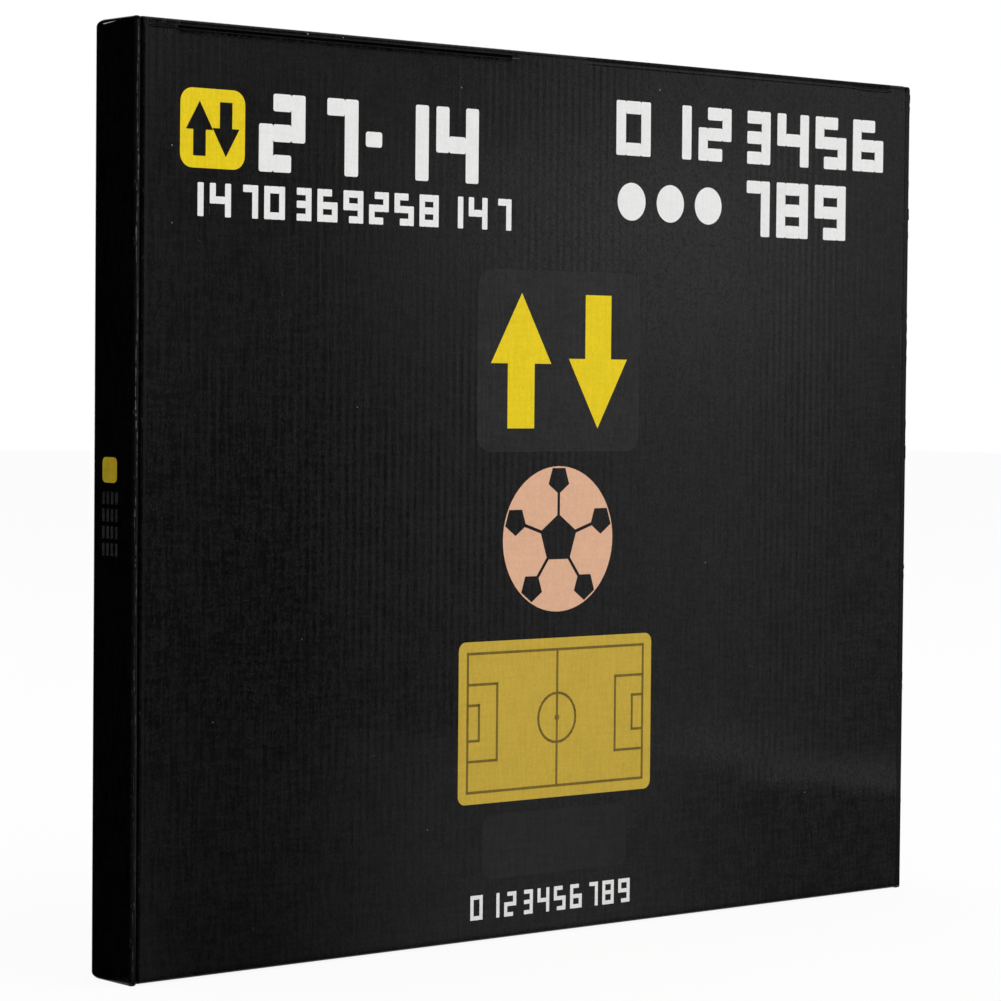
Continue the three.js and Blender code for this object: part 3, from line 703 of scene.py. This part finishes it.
def lid_board():
    """The lid's front with its two ears, folded round two upright creases."""
    def side(fold, edge):
        return Path((edge, EAR[1].y)).line((edge, FRONT + fold)).arc(fold, 0).line((0, FRONT))

    path = side(RIGHT_FOLD, -INNER_PLY_X - RIGHT_GAP).mirrored(side(LEFT_FOLD, LID_HALF))
    points = path.measured()[0]
    y = points[:, 1]
    behind = y - (FRONT + np.where(points[:, 0] > 0, RIGHT_FOLD, LEFT_FOLD) * 0.5)
    on_ear = behind > 0
    root, tip_reach, tip_drop = 5 * MM, 5 * MM, 9 * MM
    slope = rise(behind, root) * (EAR[0].z - LID_BOTTOM - MM) + MM
    slope += tip_drop * np.clip((y - (EAR[1].y - tip_reach)) / tip_reach, 0, 1) ** 2.4
    lows = np.where(on_ear, LID_BOTTOM + slope, LID_FOOT + LID_FOLD)
    highs = np.where(on_ear, LID_TOP - slope + 1.4 * MM, LID_TOP)
    rows, ends, inks = 52, (0, 1), (INK_BLACK, PAINTED_SHADE_INK)
    made = folded_board("lid_board", path, upright, lows, highs, rows, "run", lid_soft, lid_dip, ends=ends, inks=inks)
    blacken(made, lambda c: c.z > LID_TOP - 1.5 * MM)
    blacken(made, lambda c: abs(c.x) > LID_HALF - 2 * MM and c.z < LID_BOTTOM + 5 * MM)
    # Painted shade at the lid's top where the hinge crease is pressed deep
    blacken(made, lambda c: c.z > LID_TOP - 0.42 * MM and in_deep_crease(c.x), 2)
    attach(made, "lid")
    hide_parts("lid_panel", "lid_ear_left", "lid_ear_right")


def tuck_board():
    """Tuck flap, with the fold that joins it to the lid's bottom edge."""
    reach = TUCK[1].x
    path = Path((TUCK[1].y, LID_BOTTOM)).line((FRONT + WRAPPED, LID_BOTTOM))
    path.line((FRONT + LID_FOLD, LID_FOOT)).arc(LID_FOLD, 270, 10)
    points, _, distance, _ = path.measured()
    taper = 4 * MM * np.clip(1 - distance / (9 * MM), 0, 1) ** 2
    taper -= (LID_HALF - 0.2 * MM - reach) * rise(FRONT + WRAPPED - points[:, 0], MM)
    count = round(2 * reach / STEP)
    made = folded_board("tuck_board", path, lying, -reach + taper, reach - taper, count, "path")
    blacken(made, lambda c: c.y < FRONT + 3 * MM)
    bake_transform(made)
    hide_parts("tuck_flap")


def hinge_liner():
    """The outer liner where it runs through the hinge crease, from the top wall's strip to the lid."""
    section = np.array((  # depth behind the front and height, in millimetres
        (0.12, 300.4), (0.5, 300.08), (0.82, 299.92), (0.88, 299.7), (0.8, 299.48), (0.52, 299.3), (0.3, 298.98)
    ))
    across = np.linspace(-LID_HALF + 0.4 * MM, LID_HALF - 0.4 * MM, round(LID_HALF / STEP) + 1)
    depth, z = section[:, :1] * MM, section[:, 1:] * MM
    y = depth * groove_depth(across) + FRONT + 0.03 * MM
    outer = np.stack(np.broadcast_arrays(across, y, z), axis=-1)
    inner = outer + (0, 0.16 * MM, 0)
    vertices, faces = [], []
    slab(vertices, faces, outer, inner, (0, 1, 0, 0), True)
    wear = np.full(len(vertices), 0.35)
    made = mesh_object("hinge_liner", vertices, faces, [INK_BLACK, KRAFT, PAINTED_SHADE_INK], wear, 70)
    blacken(made, lambda c: True)
    # Painted shade where the hinge crease is pressed deep
    blacken(made, lambda c: in_deep_crease(c.x), 2)
    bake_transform(made)


def crease_ridges():
    """Low ridges between the cuts of the creases that run down both rims, of uneven length, width and height."""
    share = np.linspace(0, 1, 9)[:, None]
    angles = 2 * math.pi * np.arange(8) / 8
    cells = np.arange(share.size * angles.size).reshape(share.size, angles.size)
    turned = np.roll(cells, -1, axis=1)
    quads = np.stack([cells[:-1], turned[:-1], turned[1:], cells[1:]], axis=-1).reshape(-1, 4)
    vertices, faces, wear = [], [], []
    for side, lean, outside in ((-1, math.radians(9), LEFT_RIM[0]), (1, math.radians(78), RIGHT_RIM[0])):
        normal = np.array((side * math.sin(lean), -math.cos(lean), 0))
        along = np.array((side * math.cos(lean), math.sin(lean), 0))
        centre = np.array((side * (HALF - outside), FRONT + outside, 0)) + normal * (outside - 0.02 * MM)
        low, index = 4 * MM, 0
        while low < TOP - 6 * MM:
            chance = [0.5 + noise.noise(Vector((index * 1.7, side * 3.1, k * 5.3))) for k in range(5)]
            high = min(low + (1.2 + 5.6 * chance[0]) * MM, TOP - 3 * MM)
            fading = 0.4 + 0.6 * float(rise(low - 60 * MM, 150 * MM))
            width, height = (0.1 + 0.24 * chance[1]) * fading * MM, (0.03 + 0.08 * chance[2]) * fading * MM
            drift = (0.5 * chance[3] - 0.25 + 0.3 * math.sin(low / (7 * MM))) * MM
            swell = np.sqrt(1 - (2 * share - 1) ** 4) * (0.75 + 0.25 * np.sin(5 * share + index)) + 0.02
            out, aside = height * swell * np.sin(angles), width * swell * np.cos(angles) + drift
            points = centre + out[..., None] * normal + aside[..., None] * along
            points[..., 2] = low + (high - low) * share
            faces += [(tuple((face + len(vertices)).tolist()), 0) for face in (*quads, cells[0, ::-1], cells[-1])]
            vertices += points.reshape(-1, 3).tolist()
            # Wear far above 1 paints the ridges pale: partly rubbed ink, partly a painted highlight of the crease
            wear += [2.4 * chance[2] * fading] * cells.size
            low = high + (0.2 + 0.9 * chance[4]) * MM
            index += 1
    # Paler, glossier black for the ridges: rubbed ink and a painted highlight
    rubbed = printed("ink_black_rubbed_and_highlight", (0.035, 0.035, 0.035, 1.0), 0.16, 0.24, 0.6)
    made = mesh_object("crease_ridges", vertices, faces, [rubbed], wear, 50)
    face_outward(made)
    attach(made, "carton_and_frame")


# Printed marks: thin closed shapes of ink that follow the board's face
def on_front(x, z, lift):
    """A point of the lid's printed face, lift out from it."""
    x, z = np.asarray(x), np.asarray(z)
    y = np.full(x.shape, FRONT)
    out = lid_soft(x, y, z) - lid_dip(x, y, z) + washboard(x, z)
    return np.stack([x, y - out - lift, z], axis=-1)


def on_plane(y, side):
    """A surface at y across the carton. Lift goes to its front where side is -1, and to its back where it is 1."""
    def place(x, z, lift):
        return np.stack(np.broadcast_arrays(x, y + side * lift, z), axis=-1)

    return place


def on_spine(depth, z, lift):
    """A point of the left wall's printed face, at a distance behind the front."""
    depth, z = np.asarray(depth), np.asarray(z)
    y = FRONT + depth
    return np.stack([-HALF - washboard(y, z) - lift, y, z], axis=-1)


def ink(name, colour, shapes, surface, level=1, cell=(0.8 * MM, 3 * MM), body="carton_and_frame"):
    """One object of flat shapes, each a ring of (across, up) points in metres, laid on a surface.

    The shapes are cut along a grid of cells, so that they bend with the surface. A higher level lies over a lower.
    """
    vertices, faces = [], []
    for ring in shapes:
        flat = bmesh.new()
        flat.faces.new([flat.verts.new((a, 0, b)) for a, b in ring])
        for k, normal, step in ((0, Vector((1, 0, 0)), cell[0]), (1, Vector((0, 0, 1)), cell[1])):
            low, high = min(p[k] for p in ring), max(p[k] for p in ring)
            for i in range(math.ceil(low / step + 0.05), math.floor(high / step - 0.05) + 1):
                cut = {"plane_co": normal * (i * step), "plane_no": normal, "dist": 1e-7}
                bmesh.ops.bisect_plane(flat, geom=flat.verts[:] + flat.edges[:] + flat.faces[:], **cut)
        bmesh.ops.triangulate(flat, faces=[f for f in flat.faces if len(f.verts) > 4])
        flat.verts.index_update()
        places = np.array([(v.co.x, v.co.z) for v in flat.verts])
        top = surface(places[:, 0], places[:, 1], INK_LIFT * level)
        under = surface(places[:, 0], places[:, 1], -INK_ROOT)
        base, count = len(vertices), len(places)
        vertices.extend(top.tolist() + under.tolist())
        for face in flat.faces:
            corners = [base + v.index for v in face.verts]
            faces.append((tuple(corners), 0))
            faces.append((tuple(c + count for c in reversed(corners)), 0))
        for edge in flat.edges:
            if len(edge.link_faces) == 1:
                loop = edge.link_loops[0]
                a, b = loop.vert.index + base, loop.link_loop_next.vert.index + base
                faces.append(((b, a, a + count, b + count), 0))
        flat.free()
    made = mesh_object(name, vertices, faces, [colour], None, 30)
    face_outward(made)
    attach(made, body)
    return made


def at(x, z):
    """A point of the front, from millimetres to the right of its left edge and down from its top."""
    return (x * MM - HALF, TOP - z * MM)


def corner_ring(x0, z0, x1, z1, radius, steps):
    """Points round a rounded rectangle."""
    ring = []
    left, right, low, high = x0 + radius, x1 - radius, z0 + radius, z1 - radius
    for quarter, (x, z) in enumerate(((right, high), (left, high), (left, low), (right, low))):
        for i in range(steps + 1):
            angle = math.radians(90 * quarter + 90 * i / steps)
            ring.append((x + radius * math.cos(angle), z + radius * math.sin(angle)))
    return ring


def rounded(x0, z0, x1, z1, radius, steps=6):
    """A rounded rectangle in front millimetres."""
    return [at(x, z) for x, z in corner_ring(x0, z0, x1, z1, radius, steps)]


def lines(points, width):
    """Straight lines from each point to the next."""
    return [bar(*a, *b, width) for a, b in zip(points, points[1:])]


def box_ring(a0, b0, a1, b1):
    return [(a0, b0), (a1, b0), (a1, b1), (a0, b1)]


def disc(x, z, radius, sides=48, turn=0):
    """A disc in front millimetres, or a pentagon where sides is 5."""
    angles = [math.radians(turn) + 2 * math.pi * i / sides for i in range(sides)]
    return [at(x + radius * math.cos(a), z + radius * math.sin(a)) for a in angles]


def bar(xa, za, xb, zb, width):
    """A straight line of a given width in front millimetres."""
    along = Vector((xb - xa, zb - za)).normalized() * (width / 2)
    side = Vector((-along.y, along.x))
    corners = []
    for x, z, a, s in ((xa, za, -1, 1), (xb, zb, 1, 1), (xb, zb, 1, -1), (xa, za, -1, -1)):
        corners.append(at(x + a * along.x + s * side.x, z + a * along.y + s * side.y))
    return corners


# The bars of each digit, as in a seven-segment display
LIT = ("abcdef", "bc", "abdeg", "abcdg", "bcfg", "acdfg", "acdefg", "abc", "abcdefg", "abcdfg")


def numeral(digit, x, z, width, height, thick):
    """Bars of a plain block numeral whose top left corner is at x, z. No two of them overlap."""
    lit, soft, right = LIT[digit], thick * 0.12, x + width - thick
    middle, low = z + (height - thick) / 2, z + height - thick
    shapes = []
    for key, top in (("a", z), ("g", middle), ("d", low)):
        if key in lit:
            shapes.append(rounded(x + thick, top, right, top + thick, soft, 2))
    for left, upper, lower in ((x, "f", "e"), (right, "b", "c")):
        if upper in lit or lower in lit:
            start = z if upper in lit else middle
            end = low + thick if lower in lit else middle + thick
            shapes.append(rounded(left, start, left + thick, end, soft, 2))
    return shapes


def arrow(x, z, width, height, stem, down=False):
    """An arrow in front millimetres, its point up or down, centred on x and starting at z."""
    head = height * 0.52
    half = [(width / 2, head), (stem / 2, head), (stem / 2, height)]
    ring = [(0, 0)] + half + [(-a, b) for a, b in reversed(half)]
    return [at(x + a, z + (height - b if down else b)) for a, b in ring]


def front_prints():
    """A generic design on the front: numerals, two arrows, a ball and the plan of a pitch."""
    blacks = [arrow(24.4, 25, 10.4, 17.2, 4.8), arrow(34.6, 25, 10.4, 17.2, 4.8, down=True)]
    yellows = [rounded(17, 21, 42, 46, 4.5), arrow(158.5, 82, 27, 46, 12), arrow(193.5, 82, 27, 46, 12, down=True)]
    whites = [rounded(90.6, 31, 97.4, 36, 0.8, 2)] + [disc(208.5 + i * 18.5, 49, 6.6, 36) for i in range(3)]
    for digits, x, apart, z, width, height, thick in (
        ("27", 47.5, 21.6, 21, 18.4, 25, 5.6),
        ("14", 98.7, 21.6, 21, 18.4, 25, 5.6),
        ("1470369258147", 18, 10.6, 50.5, 8.2, 10.6, 2.3),
        ("0123456", 201, 19.7, 14, 16.2, 19, 4.5),
        ("789", 260.1, 19.7, 39, 16.2, 20, 4.5),
        ("0123456789", 138, 7.5, 286, 5.4, 8.4, 1.4),
    ):
        for i, digit in enumerate(digits):
            whites += numeral(int(digit), x + i * apart, z, width, height, thick)

    middle, ball, patch = 176, 166, 8.6
    blacks.append(disc(middle, ball, patch, 5, -90))
    for i in range(5):
        turn = -90 + 72 * i
        reach = Vector((math.cos(math.radians(turn)), math.sin(math.radians(turn))))
        near, far, rim = reach * patch, reach * 15.6, reach * 20.4
        blacks.append(bar(middle + near.x, ball + near.y, middle + far.x, ball + far.y, 1.1))
        blacks.append(disc(middle + rim.x, ball + rim.y, 4.9, 5, 180 + turn))

    spot, line, circle, turns = 227.5, 0.9, 8.5, 28
    left, right, top, bottom = 136, 216, 204, 251
    umbers = [bar(left, z, right, z, line) for z in (top, bottom)] + [disc(middle, spot, 1.1, 16)]
    umbers += [bar(x, top, x, bottom, line) for x in (left, right, middle)]
    for side, edge in ((1, left), (-1, right)):
        for depth, reach in ((13, 13), (5, 6)):
            x, upper, lower = edge + side * depth, spot - reach, spot + reach
            umbers += lines([(edge, upper), (x, upper), (x, lower), (edge, lower)], line)
    angles = [2 * math.pi * i / turns for i in range(turns + 1)]
    umbers += lines([(middle + circle * math.cos(a), spot + circle * math.sin(a)) for a in angles], line)

    satin = (0.26, 0.4)
    for name, colour, gloss, mottle, shapes, level in (
        ("grey", (30, 30, 31), (0.2, 0.32), 0.3, [rounded(139, 74, 213, 136, 6)], 1),
        ("shadow", (22, 22, 23), (0.2, 0.32), 0.3, [rounded(143, 259, 209, 281, 4)], 1),
        ("mustard", (192, 162, 54), satin, 0.05, [rounded(132, 200, 220, 255, 3)], 1),
        ("peach", (221, 173, 142), satin, 0.04, [disc(middle, ball, 25, 64)], 1),
        ("white", (233, 233, 232), satin, 0.03, whites, 1),
        ("yellow", (228, 200, 0), satin, 0.05, yellows, 2),
        ("umber", (112, 92, 30), satin, 0.12, umbers, 2.5),
    ):
        made = printed("ink_" + name, srgb(*colour), *gloss, mottle)
        ink("print_" + name, made, shapes, on_front, level, body="lid")
    ink("print_black", INK_BLACK, blacks, on_front, 3, body="lid")


def spine_prints():
    """A yellow square and rows of small grey bars on the left side. The square's yellow is painted darker than the
    front's, as shade.
    """
    def spine_box(depth, z, width, height, radius):
        ring = corner_ring(depth, z, depth + width, z + height, radius, 3)
        return [(a * MM, b * MM) for a, b in ring]

    cell = (0.8 * MM, 8 * MM)
    # A darker yellow than the front's, for the left side: painted shade
    shaded_yellow = printed("ink_spine_yellow_shaded", srgb(150, 128, 12), 0.26, 0.4)
    ink("print_spine_yellow", shaded_yellow, [spine_box(9, 157, 8, 8, 1.6)], on_spine, 1, cell)
    bars = [spine_box(8.5 + 2.4 * (i % 4), 134 + 5.4 * (i // 4), 1.3, 4, 0.3) for i in range(16)]
    ink("print_spine_grey", bpy.data.materials["ink_grey"], bars, on_spine, 1, cell)


def scuffs_and_highlights():
    """Small pale worn places on the front, and painted highlights: a sliver at the hinge crease's end, dots on the
    strip over the crease and a streak at the left side's top.
    """
    worn = printed("ink_worn", (0.02, 0.02, 0.02, 1.0), 0.3, 0.4, 0.5)
    # Pale grey ink for the chips on the front, and for a painted highlight
    chips_and_highlight = printed("ink_chips_and_highlight", (0.12, 0.12, 0.118, 1.0), 0.3, 0.4, 0.4)
    # Pale ink for painted highlights
    pale_highlight = printed("painted_highlight_pale", (0.3, 0.296, 0.285, 1.0), 0.4, 0.5, 0.2)
    strokes = [bar(x, z, x + lean, z + tall, 0.2) for x, z, lean, tall in (
        (11.2, 3.6, 0.1, 1.3), (12.3, 3.4, -0.1, 1.1), (13.2, 3.6, 0.1, 1.4), (11.6, 5.8, 0.7, 0.2),
        (12.9, 6.6, 0.2, 0.9), (20.5, 9, 0.3, 1.6), (28.4, 58, 0.2, 2.6), (24, 68.5, 1.6, 0.9), (57, 84, 0.3, 1.5),
        (262, 88.5, 1.2, 0.5), (301, 141, 0.2, 1.8), (95, 236, 1.4, -0.4), (47, 288, 0.3, 1.1), (268, 214, 2.6, 0.3),
    )]
    spots = [disc(x, z, size, 7) for x, z, size in (
        (14, 39.4, 0.3), (14.2, 63.6, 0.26), (131, 14.2, 0.3), (221.4, 9.3, 0.34), (88, 121, 0.2), (246, 176, 0.22),
        (66, 196, 0.2), (298, 262, 0.24), (31, 221, 0.18), (119, 262, 0.2),
    )]
    ink("scuffs_front", worn, strokes, on_front, 2, body="lid")
    ink("chips_front", chips_and_highlight, spots, on_front, 2, body="lid")
    # A thin pale sliver at the end of the hinge crease: a painted highlight
    ink("highlight_sliver_front", chips_and_highlight, [bar(153.4, 2.9, 156.4, 2.84, 0.11)], on_front, 3.5, body="lid")

    # Two pale dots on the strip over the hinge crease: painted highlights
    highlight_dots = [disc(66.6, 1.1, 0.26, 8), disc(81, 1.2, 0.14, 6)]
    ink("highlight_dots_strip", pale_highlight, highlight_dots, on_plane(FRONT, -1), 2)
    # A pale streak along the left side's top edge: a painted highlight
    highlight_streak = [(10.4, 300.95), (13.5, 300.9), (17.4, 300.68), (18.1, 300.5), (17.2, 300.34), (13.5, 300.66)]
    ink("highlight_streak_left", pale_highlight, [[(depth * MM, z * MM) for depth, z in highlight_streak]], on_spine, 2)


def tab_ends():
    """The side walls' tabs where they show in the back panel's slots: cut edges of corrugated board, in a gap painted
    dark as its shade.
    """
    half = MEDIUM / 2
    middle, swing = (TAB_INNER + TAB_OUTER) / 2, (TAB_OUTER - TAB_INNER) / 2 - LINER - half
    edges, gaps = [], []
    for side in (-1, 1):
        for centre in TAB_CENTRES:
            low, high = centre - TAB_WIDTH / 2, centre + TAB_WIDTH / 2
            near, far = side * (TAB_INNER - TAB_GAP), side * (TAB_OUTER + TAB_GAP)
            gaps.append(box_ring(near, low - TAB_GAP, far, high + TAB_GAP))
            for start in (TAB_INNER, TAB_OUTER - LINER):
                edges.append(box_ring(side * start, low, side * (start + LINER), high))
            heights = np.linspace(low, high, 12 * round(TAB_WIDTH / PITCH) + 1)
            wave = middle + swing * np.sin(heights * 2 * math.pi / PITCH)
            for a, b, c, d in zip(wave, wave[1:], heights, heights[1:]):
                edges.append([(side * x, z) for x, z in ((a - half, c), (a + half, c), (b + half, d), (b - half, d))])
    surface, cell = on_plane(BACK + 0.01 * MM, 1), (5 * MM, 40 * MM)
    # A dark sheet round each tab end: painted shade in its slot
    ink("tab_gap_shades", PAINTED_SHADE_INK, gaps, surface, 1, cell)
    ink("tab_edges", KRAFT, edges, surface, 2, cell)


def board_marks():
    """Painted arrows between the digits: up and yellow on one face, down and red on the other."""
    width, stem, low, high = 6.5 * MM, 2.6 * MM, 106 * MM, 132 * MM
    neck = high - 12 * MM
    up = [(0, high), (-width, neck), (-stem, neck), (-stem, low), (stem, low), (stem, neck), (width, neck)]
    down = [(a, low + high - b) for a, b in up]
    near, far = on_plane(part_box("face_plate_in")[0].y, -1), on_plane(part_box("face_plate_out")[1].y, 1)
    for name, colour, shape, surface, finish in (
        ("mark_up", YELLOW_SHEET, up, near, "bright_yellow"),
        ("mark_down", RED_SHEET, down, far, "bright_red"),
    ):
        made = ink(name, colour, [shape], surface, 2, (4 * MM, 6 * MM))


def cad_finishes():
    """Procedural materials and slightly softened edges for the CAD's own nodes."""
    finishes = (
        ("corner_flap", INK_BLACK, 0.1),
        ("screw", SCREW_STEEL, 0.15),
        ("shutter", SHUTTER_GREY, 0.18),
        (("mid_plate_in", "reflector_in"), YELLOW_SHEET, 0.1),
        (("mid_plate_out", "reflector_out"), RED_SHEET, 0.1),
        (("frame_rail", "face_plate"), BOARD_BLACK, 0.35),
    )
    for name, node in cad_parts.items():
        for starts, finish, edge in finishes:
            if name.startswith(starts):
                node.data.materials.clear()
                node.data.materials.append(finish)
                soft = node.modifiers.new("soft_edges", "BEVEL")
                soft.width = edge * MM
                soft.segments = 2
                soft.limit_method = "ANGLE"
                soft.angle_limit = math.radians(40)
                soft.harden_normals = True


def whiten(n, kind, share):
    """Makes a share of a tree's colour plain white to the camera and in reflections. The rest stays as it is lit."""
    rays = (n.make("LightPath", output=f"Is {ray} Ray") for ray in ("Camera", "Glossy", "Transmission"))
    to_camera, glossy, through = rays
    seen = n.math("MAXIMUM", to_camera, n.math("MAXIMUM", glossy, through))
    n.show(n.make("MixShader", seen * share, n.term(n.shader), n.make(kind, Color=WHITE)))


def card(name, corners, shade, quads=((0, 1, 2, 3),)):
    """A studio card that only reflections see. shade is its glow's strength, or makes it from the card's nodes."""
    n = material(name)
    n.show(n.make("Emission", Strength=shade(n) if callable(shade) else shade))
    made = mesh_object(name, corners, [(quad, 0) for quad in quads], [n.owner])
    made.visible_camera = made.visible_diffuse = made.visible_shadow = made.visible_transmission = False
    return made


def curtain(name, centre, reach, first, last, top, shade):
    """A standing card on an arc round a point, and the cloth under it."""
    turns = 12
    standing, lying_down, quads = [], [], []
    for i in range(turns + 1):
        angle = math.radians(first + (last - first) * i / turns)
        away = Vector((math.cos(angle), math.sin(angle)))
        near, far = centre + away * MM, centre + away * reach
        standing += [(far.x, far.y, 0.0), (far.x, far.y, top)]
        lying_down += [(near.x, near.y, CLOTH), (far.x, far.y, CLOTH)]
        if i:
            quads.append((2 * i - 2, 2 * i, 2 * i + 1, 2 * i - 1))
    return [card(name, standing, shade, quads), card(name + "_cloth", lying_down, shade, quads)]


def side_cards():
    """A black flag close behind the left side, a dim wall in front of it, and a dim flag past the right side."""
    corner = Vector((-HALF, 0))
    flags = curtain("card_flag", corner, 0.26, 92, 170, 0.8, 0.0)
    flags += curtain("card_left", corner, 1.5, 166, 250, 1.6, 0.05)
    corners = [(1.0, y, z) for y, z in box_ring(-0.52, 0, 0.5, 0.9)]
    return flags + [card("card_right", corners, 0.06)]


def mirrored_place(n):
    """For a point of a card, the across and up of the place on the front that mirrors it to the camera's stand."""
    away = (n.axis("Y") - FRONT) / -CAMERA_AWAY
    whole = away + 1.0
    across = (n.axis("X") + away * CAMERA_PLACE.x) / whole
    up = (n.axis("Z") + away * CAMERA_PLACE.z) / whole
    return across, up


def front_shade(n):
    """How bright the studio is that the front mirrors: dim on the left, brightest right of the middle, and parted by
    a slanting edge low down. Above the front and close to its foot it is dark."""
    across, up = mirrored_place(n)
    climb, fall = n.ramp(across, -0.17, 0.05), n.ramp(across, 0.06, 0.17)

    def level(start, peak, end):
        """From start on the left to peak right of the middle, and to end at the right."""
        return climb * (peak - start) + start + fall * (end - peak)

    def change(a, b, share):
        return b * share + a * (1.0 - share)

    low = n.ramp(across, -0.14, -0.02) * 0.62 + n.ramp(across, 0.0, 0.14) * -0.52 + 0.2
    wobble = (n.noise(9.0, 4.0, 0.6) - 0.5) * 0.014 + n.ramp(across, 0.094, 0.104, 0.0, 0.008)
    slanting = up + across * 0.12 + wobble
    above_edge = n.ramp(slanting, 0.0652, 0.0666)
    band = above_edge * n.ramp(slanting, 0.0717, 0.0797, 0.5, 0.0) * n.ramp(across, 0.0, 0.12)
    middle = change(level(0.1, 0.75, 0.37), level(0.12, 0.95, 0.5), n.ramp(up, 0.08, 0.16))
    shade = change(low, middle, above_edge) + band
    shade = change(shade, level(0.34, 1.6, 0.85), n.ramp(up, 0.15, 0.25))
    shade = change(shade, level(0.55, 1.1, 1.0), n.ramp(up, 0.25, 0.3))
    hollow = n.ramp(across, -0.075, -0.05) * n.ramp(across, -0.02, 0.0, 1.0, 0.0)
    rim = n.ramp(across, -0.172, -0.154, 1.0, 0.0) * n.ramp(up, 0.1, 0.2, 0.2, 0.42)
    shade = shade - hollow * n.ramp(up, 0.262, 0.28, 0.0, 0.3) + rim
    return shade * n.ramp(up, 0.33, 0.38, 1.0, 0.04) * n.ramp(up, 0.0008, 0.003, 0.25, 1.0)


def front_cards():
    """A wall, a floor cloth and a dim ceiling that the front mirrors."""
    start, left, right, top = -1.5, -1.6, 2.8, 1.6
    wall = [(x, start, z) for x, z in box_ring(left, 0, right, top)]
    ground = [(x, y, CLOTH) for x, y in box_ring(left, start, right, FRONT - 0.5 * MM)]
    ceiling = [(x, y, top) for x, y in box_ring(left, start, right, 0.9)]
    cards = (("card_wall", wall, front_shade), ("card_ground", ground, front_shade), ("card_ceiling", ceiling, 0.6))
    return [card(*each) for each in cards]


def stage():
    """A white world, a pale floor that keeps the shadow, and soft studio lamps."""
    scene.world = bpy.data.worlds.new("studio")
    sky = Nodes(scene.world)
    sky.shader.inputs["Color"].default_value = WHITE
    sky.shader.inputs["Strength"].default_value = 0.7
    whiten(sky, "Background", 1.0)

    ground = material("floor_white")
    base = ground.mix(ground.noise(6.0), (0.93, 0.93, 0.93, 1), (0.95, 0.95, 0.95, 1))
    ground.finish(base, 0.9, Specular_IOR_Level=0.0)
    whiten(ground, "Emission", 0.9)
    bpy.ops.mesh.primitive_grid_add(x_subdivisions=2, y_subdivisions=2, size=14, location=(0, 0, 0))
    floor = bpy.context.object
    floor.name = "floor"
    floor.data.materials.append(ground.owner)

    for name, place, aim, energy, width, height in (
        ("lamp_top", (0.3, -0.6, 2.6), (0.1, -0.1, 0.0), 26.0, 2.6, 2.6),
        ("lamp_key", (1.9, -1.7, 1.3), (0.0, 0.0, 0.15), 6.0, 1.0, 1.4),
        ("lamp_edge", (-1.42, -1.0, 0.5), (-0.17, 0.0, 0.18), 1.0, 0.1, 1.2),
    ):
        data = bpy.data.lights.new(name, "AREA")
        data.shape = "RECTANGLE"
        data.size = width
        data.size_y = height
        data.energy = energy
        lamp = new_object(name, data)
        lamp.location = place
        lamp.rotation_euler = (Vector(aim) - Vector(place)).to_track_quat("-Z", "Y").to_euler()
    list(side_cards())
    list(front_cards())


camera()
stage()
cad_finishes()
tray()
top_board()
bottom_board()
lid_board()
tuck_board()
hinge_liner()
crease_ridges()
front_prints()
spine_prints()
scuffs_and_highlights()
tab_ends()
board_marks()
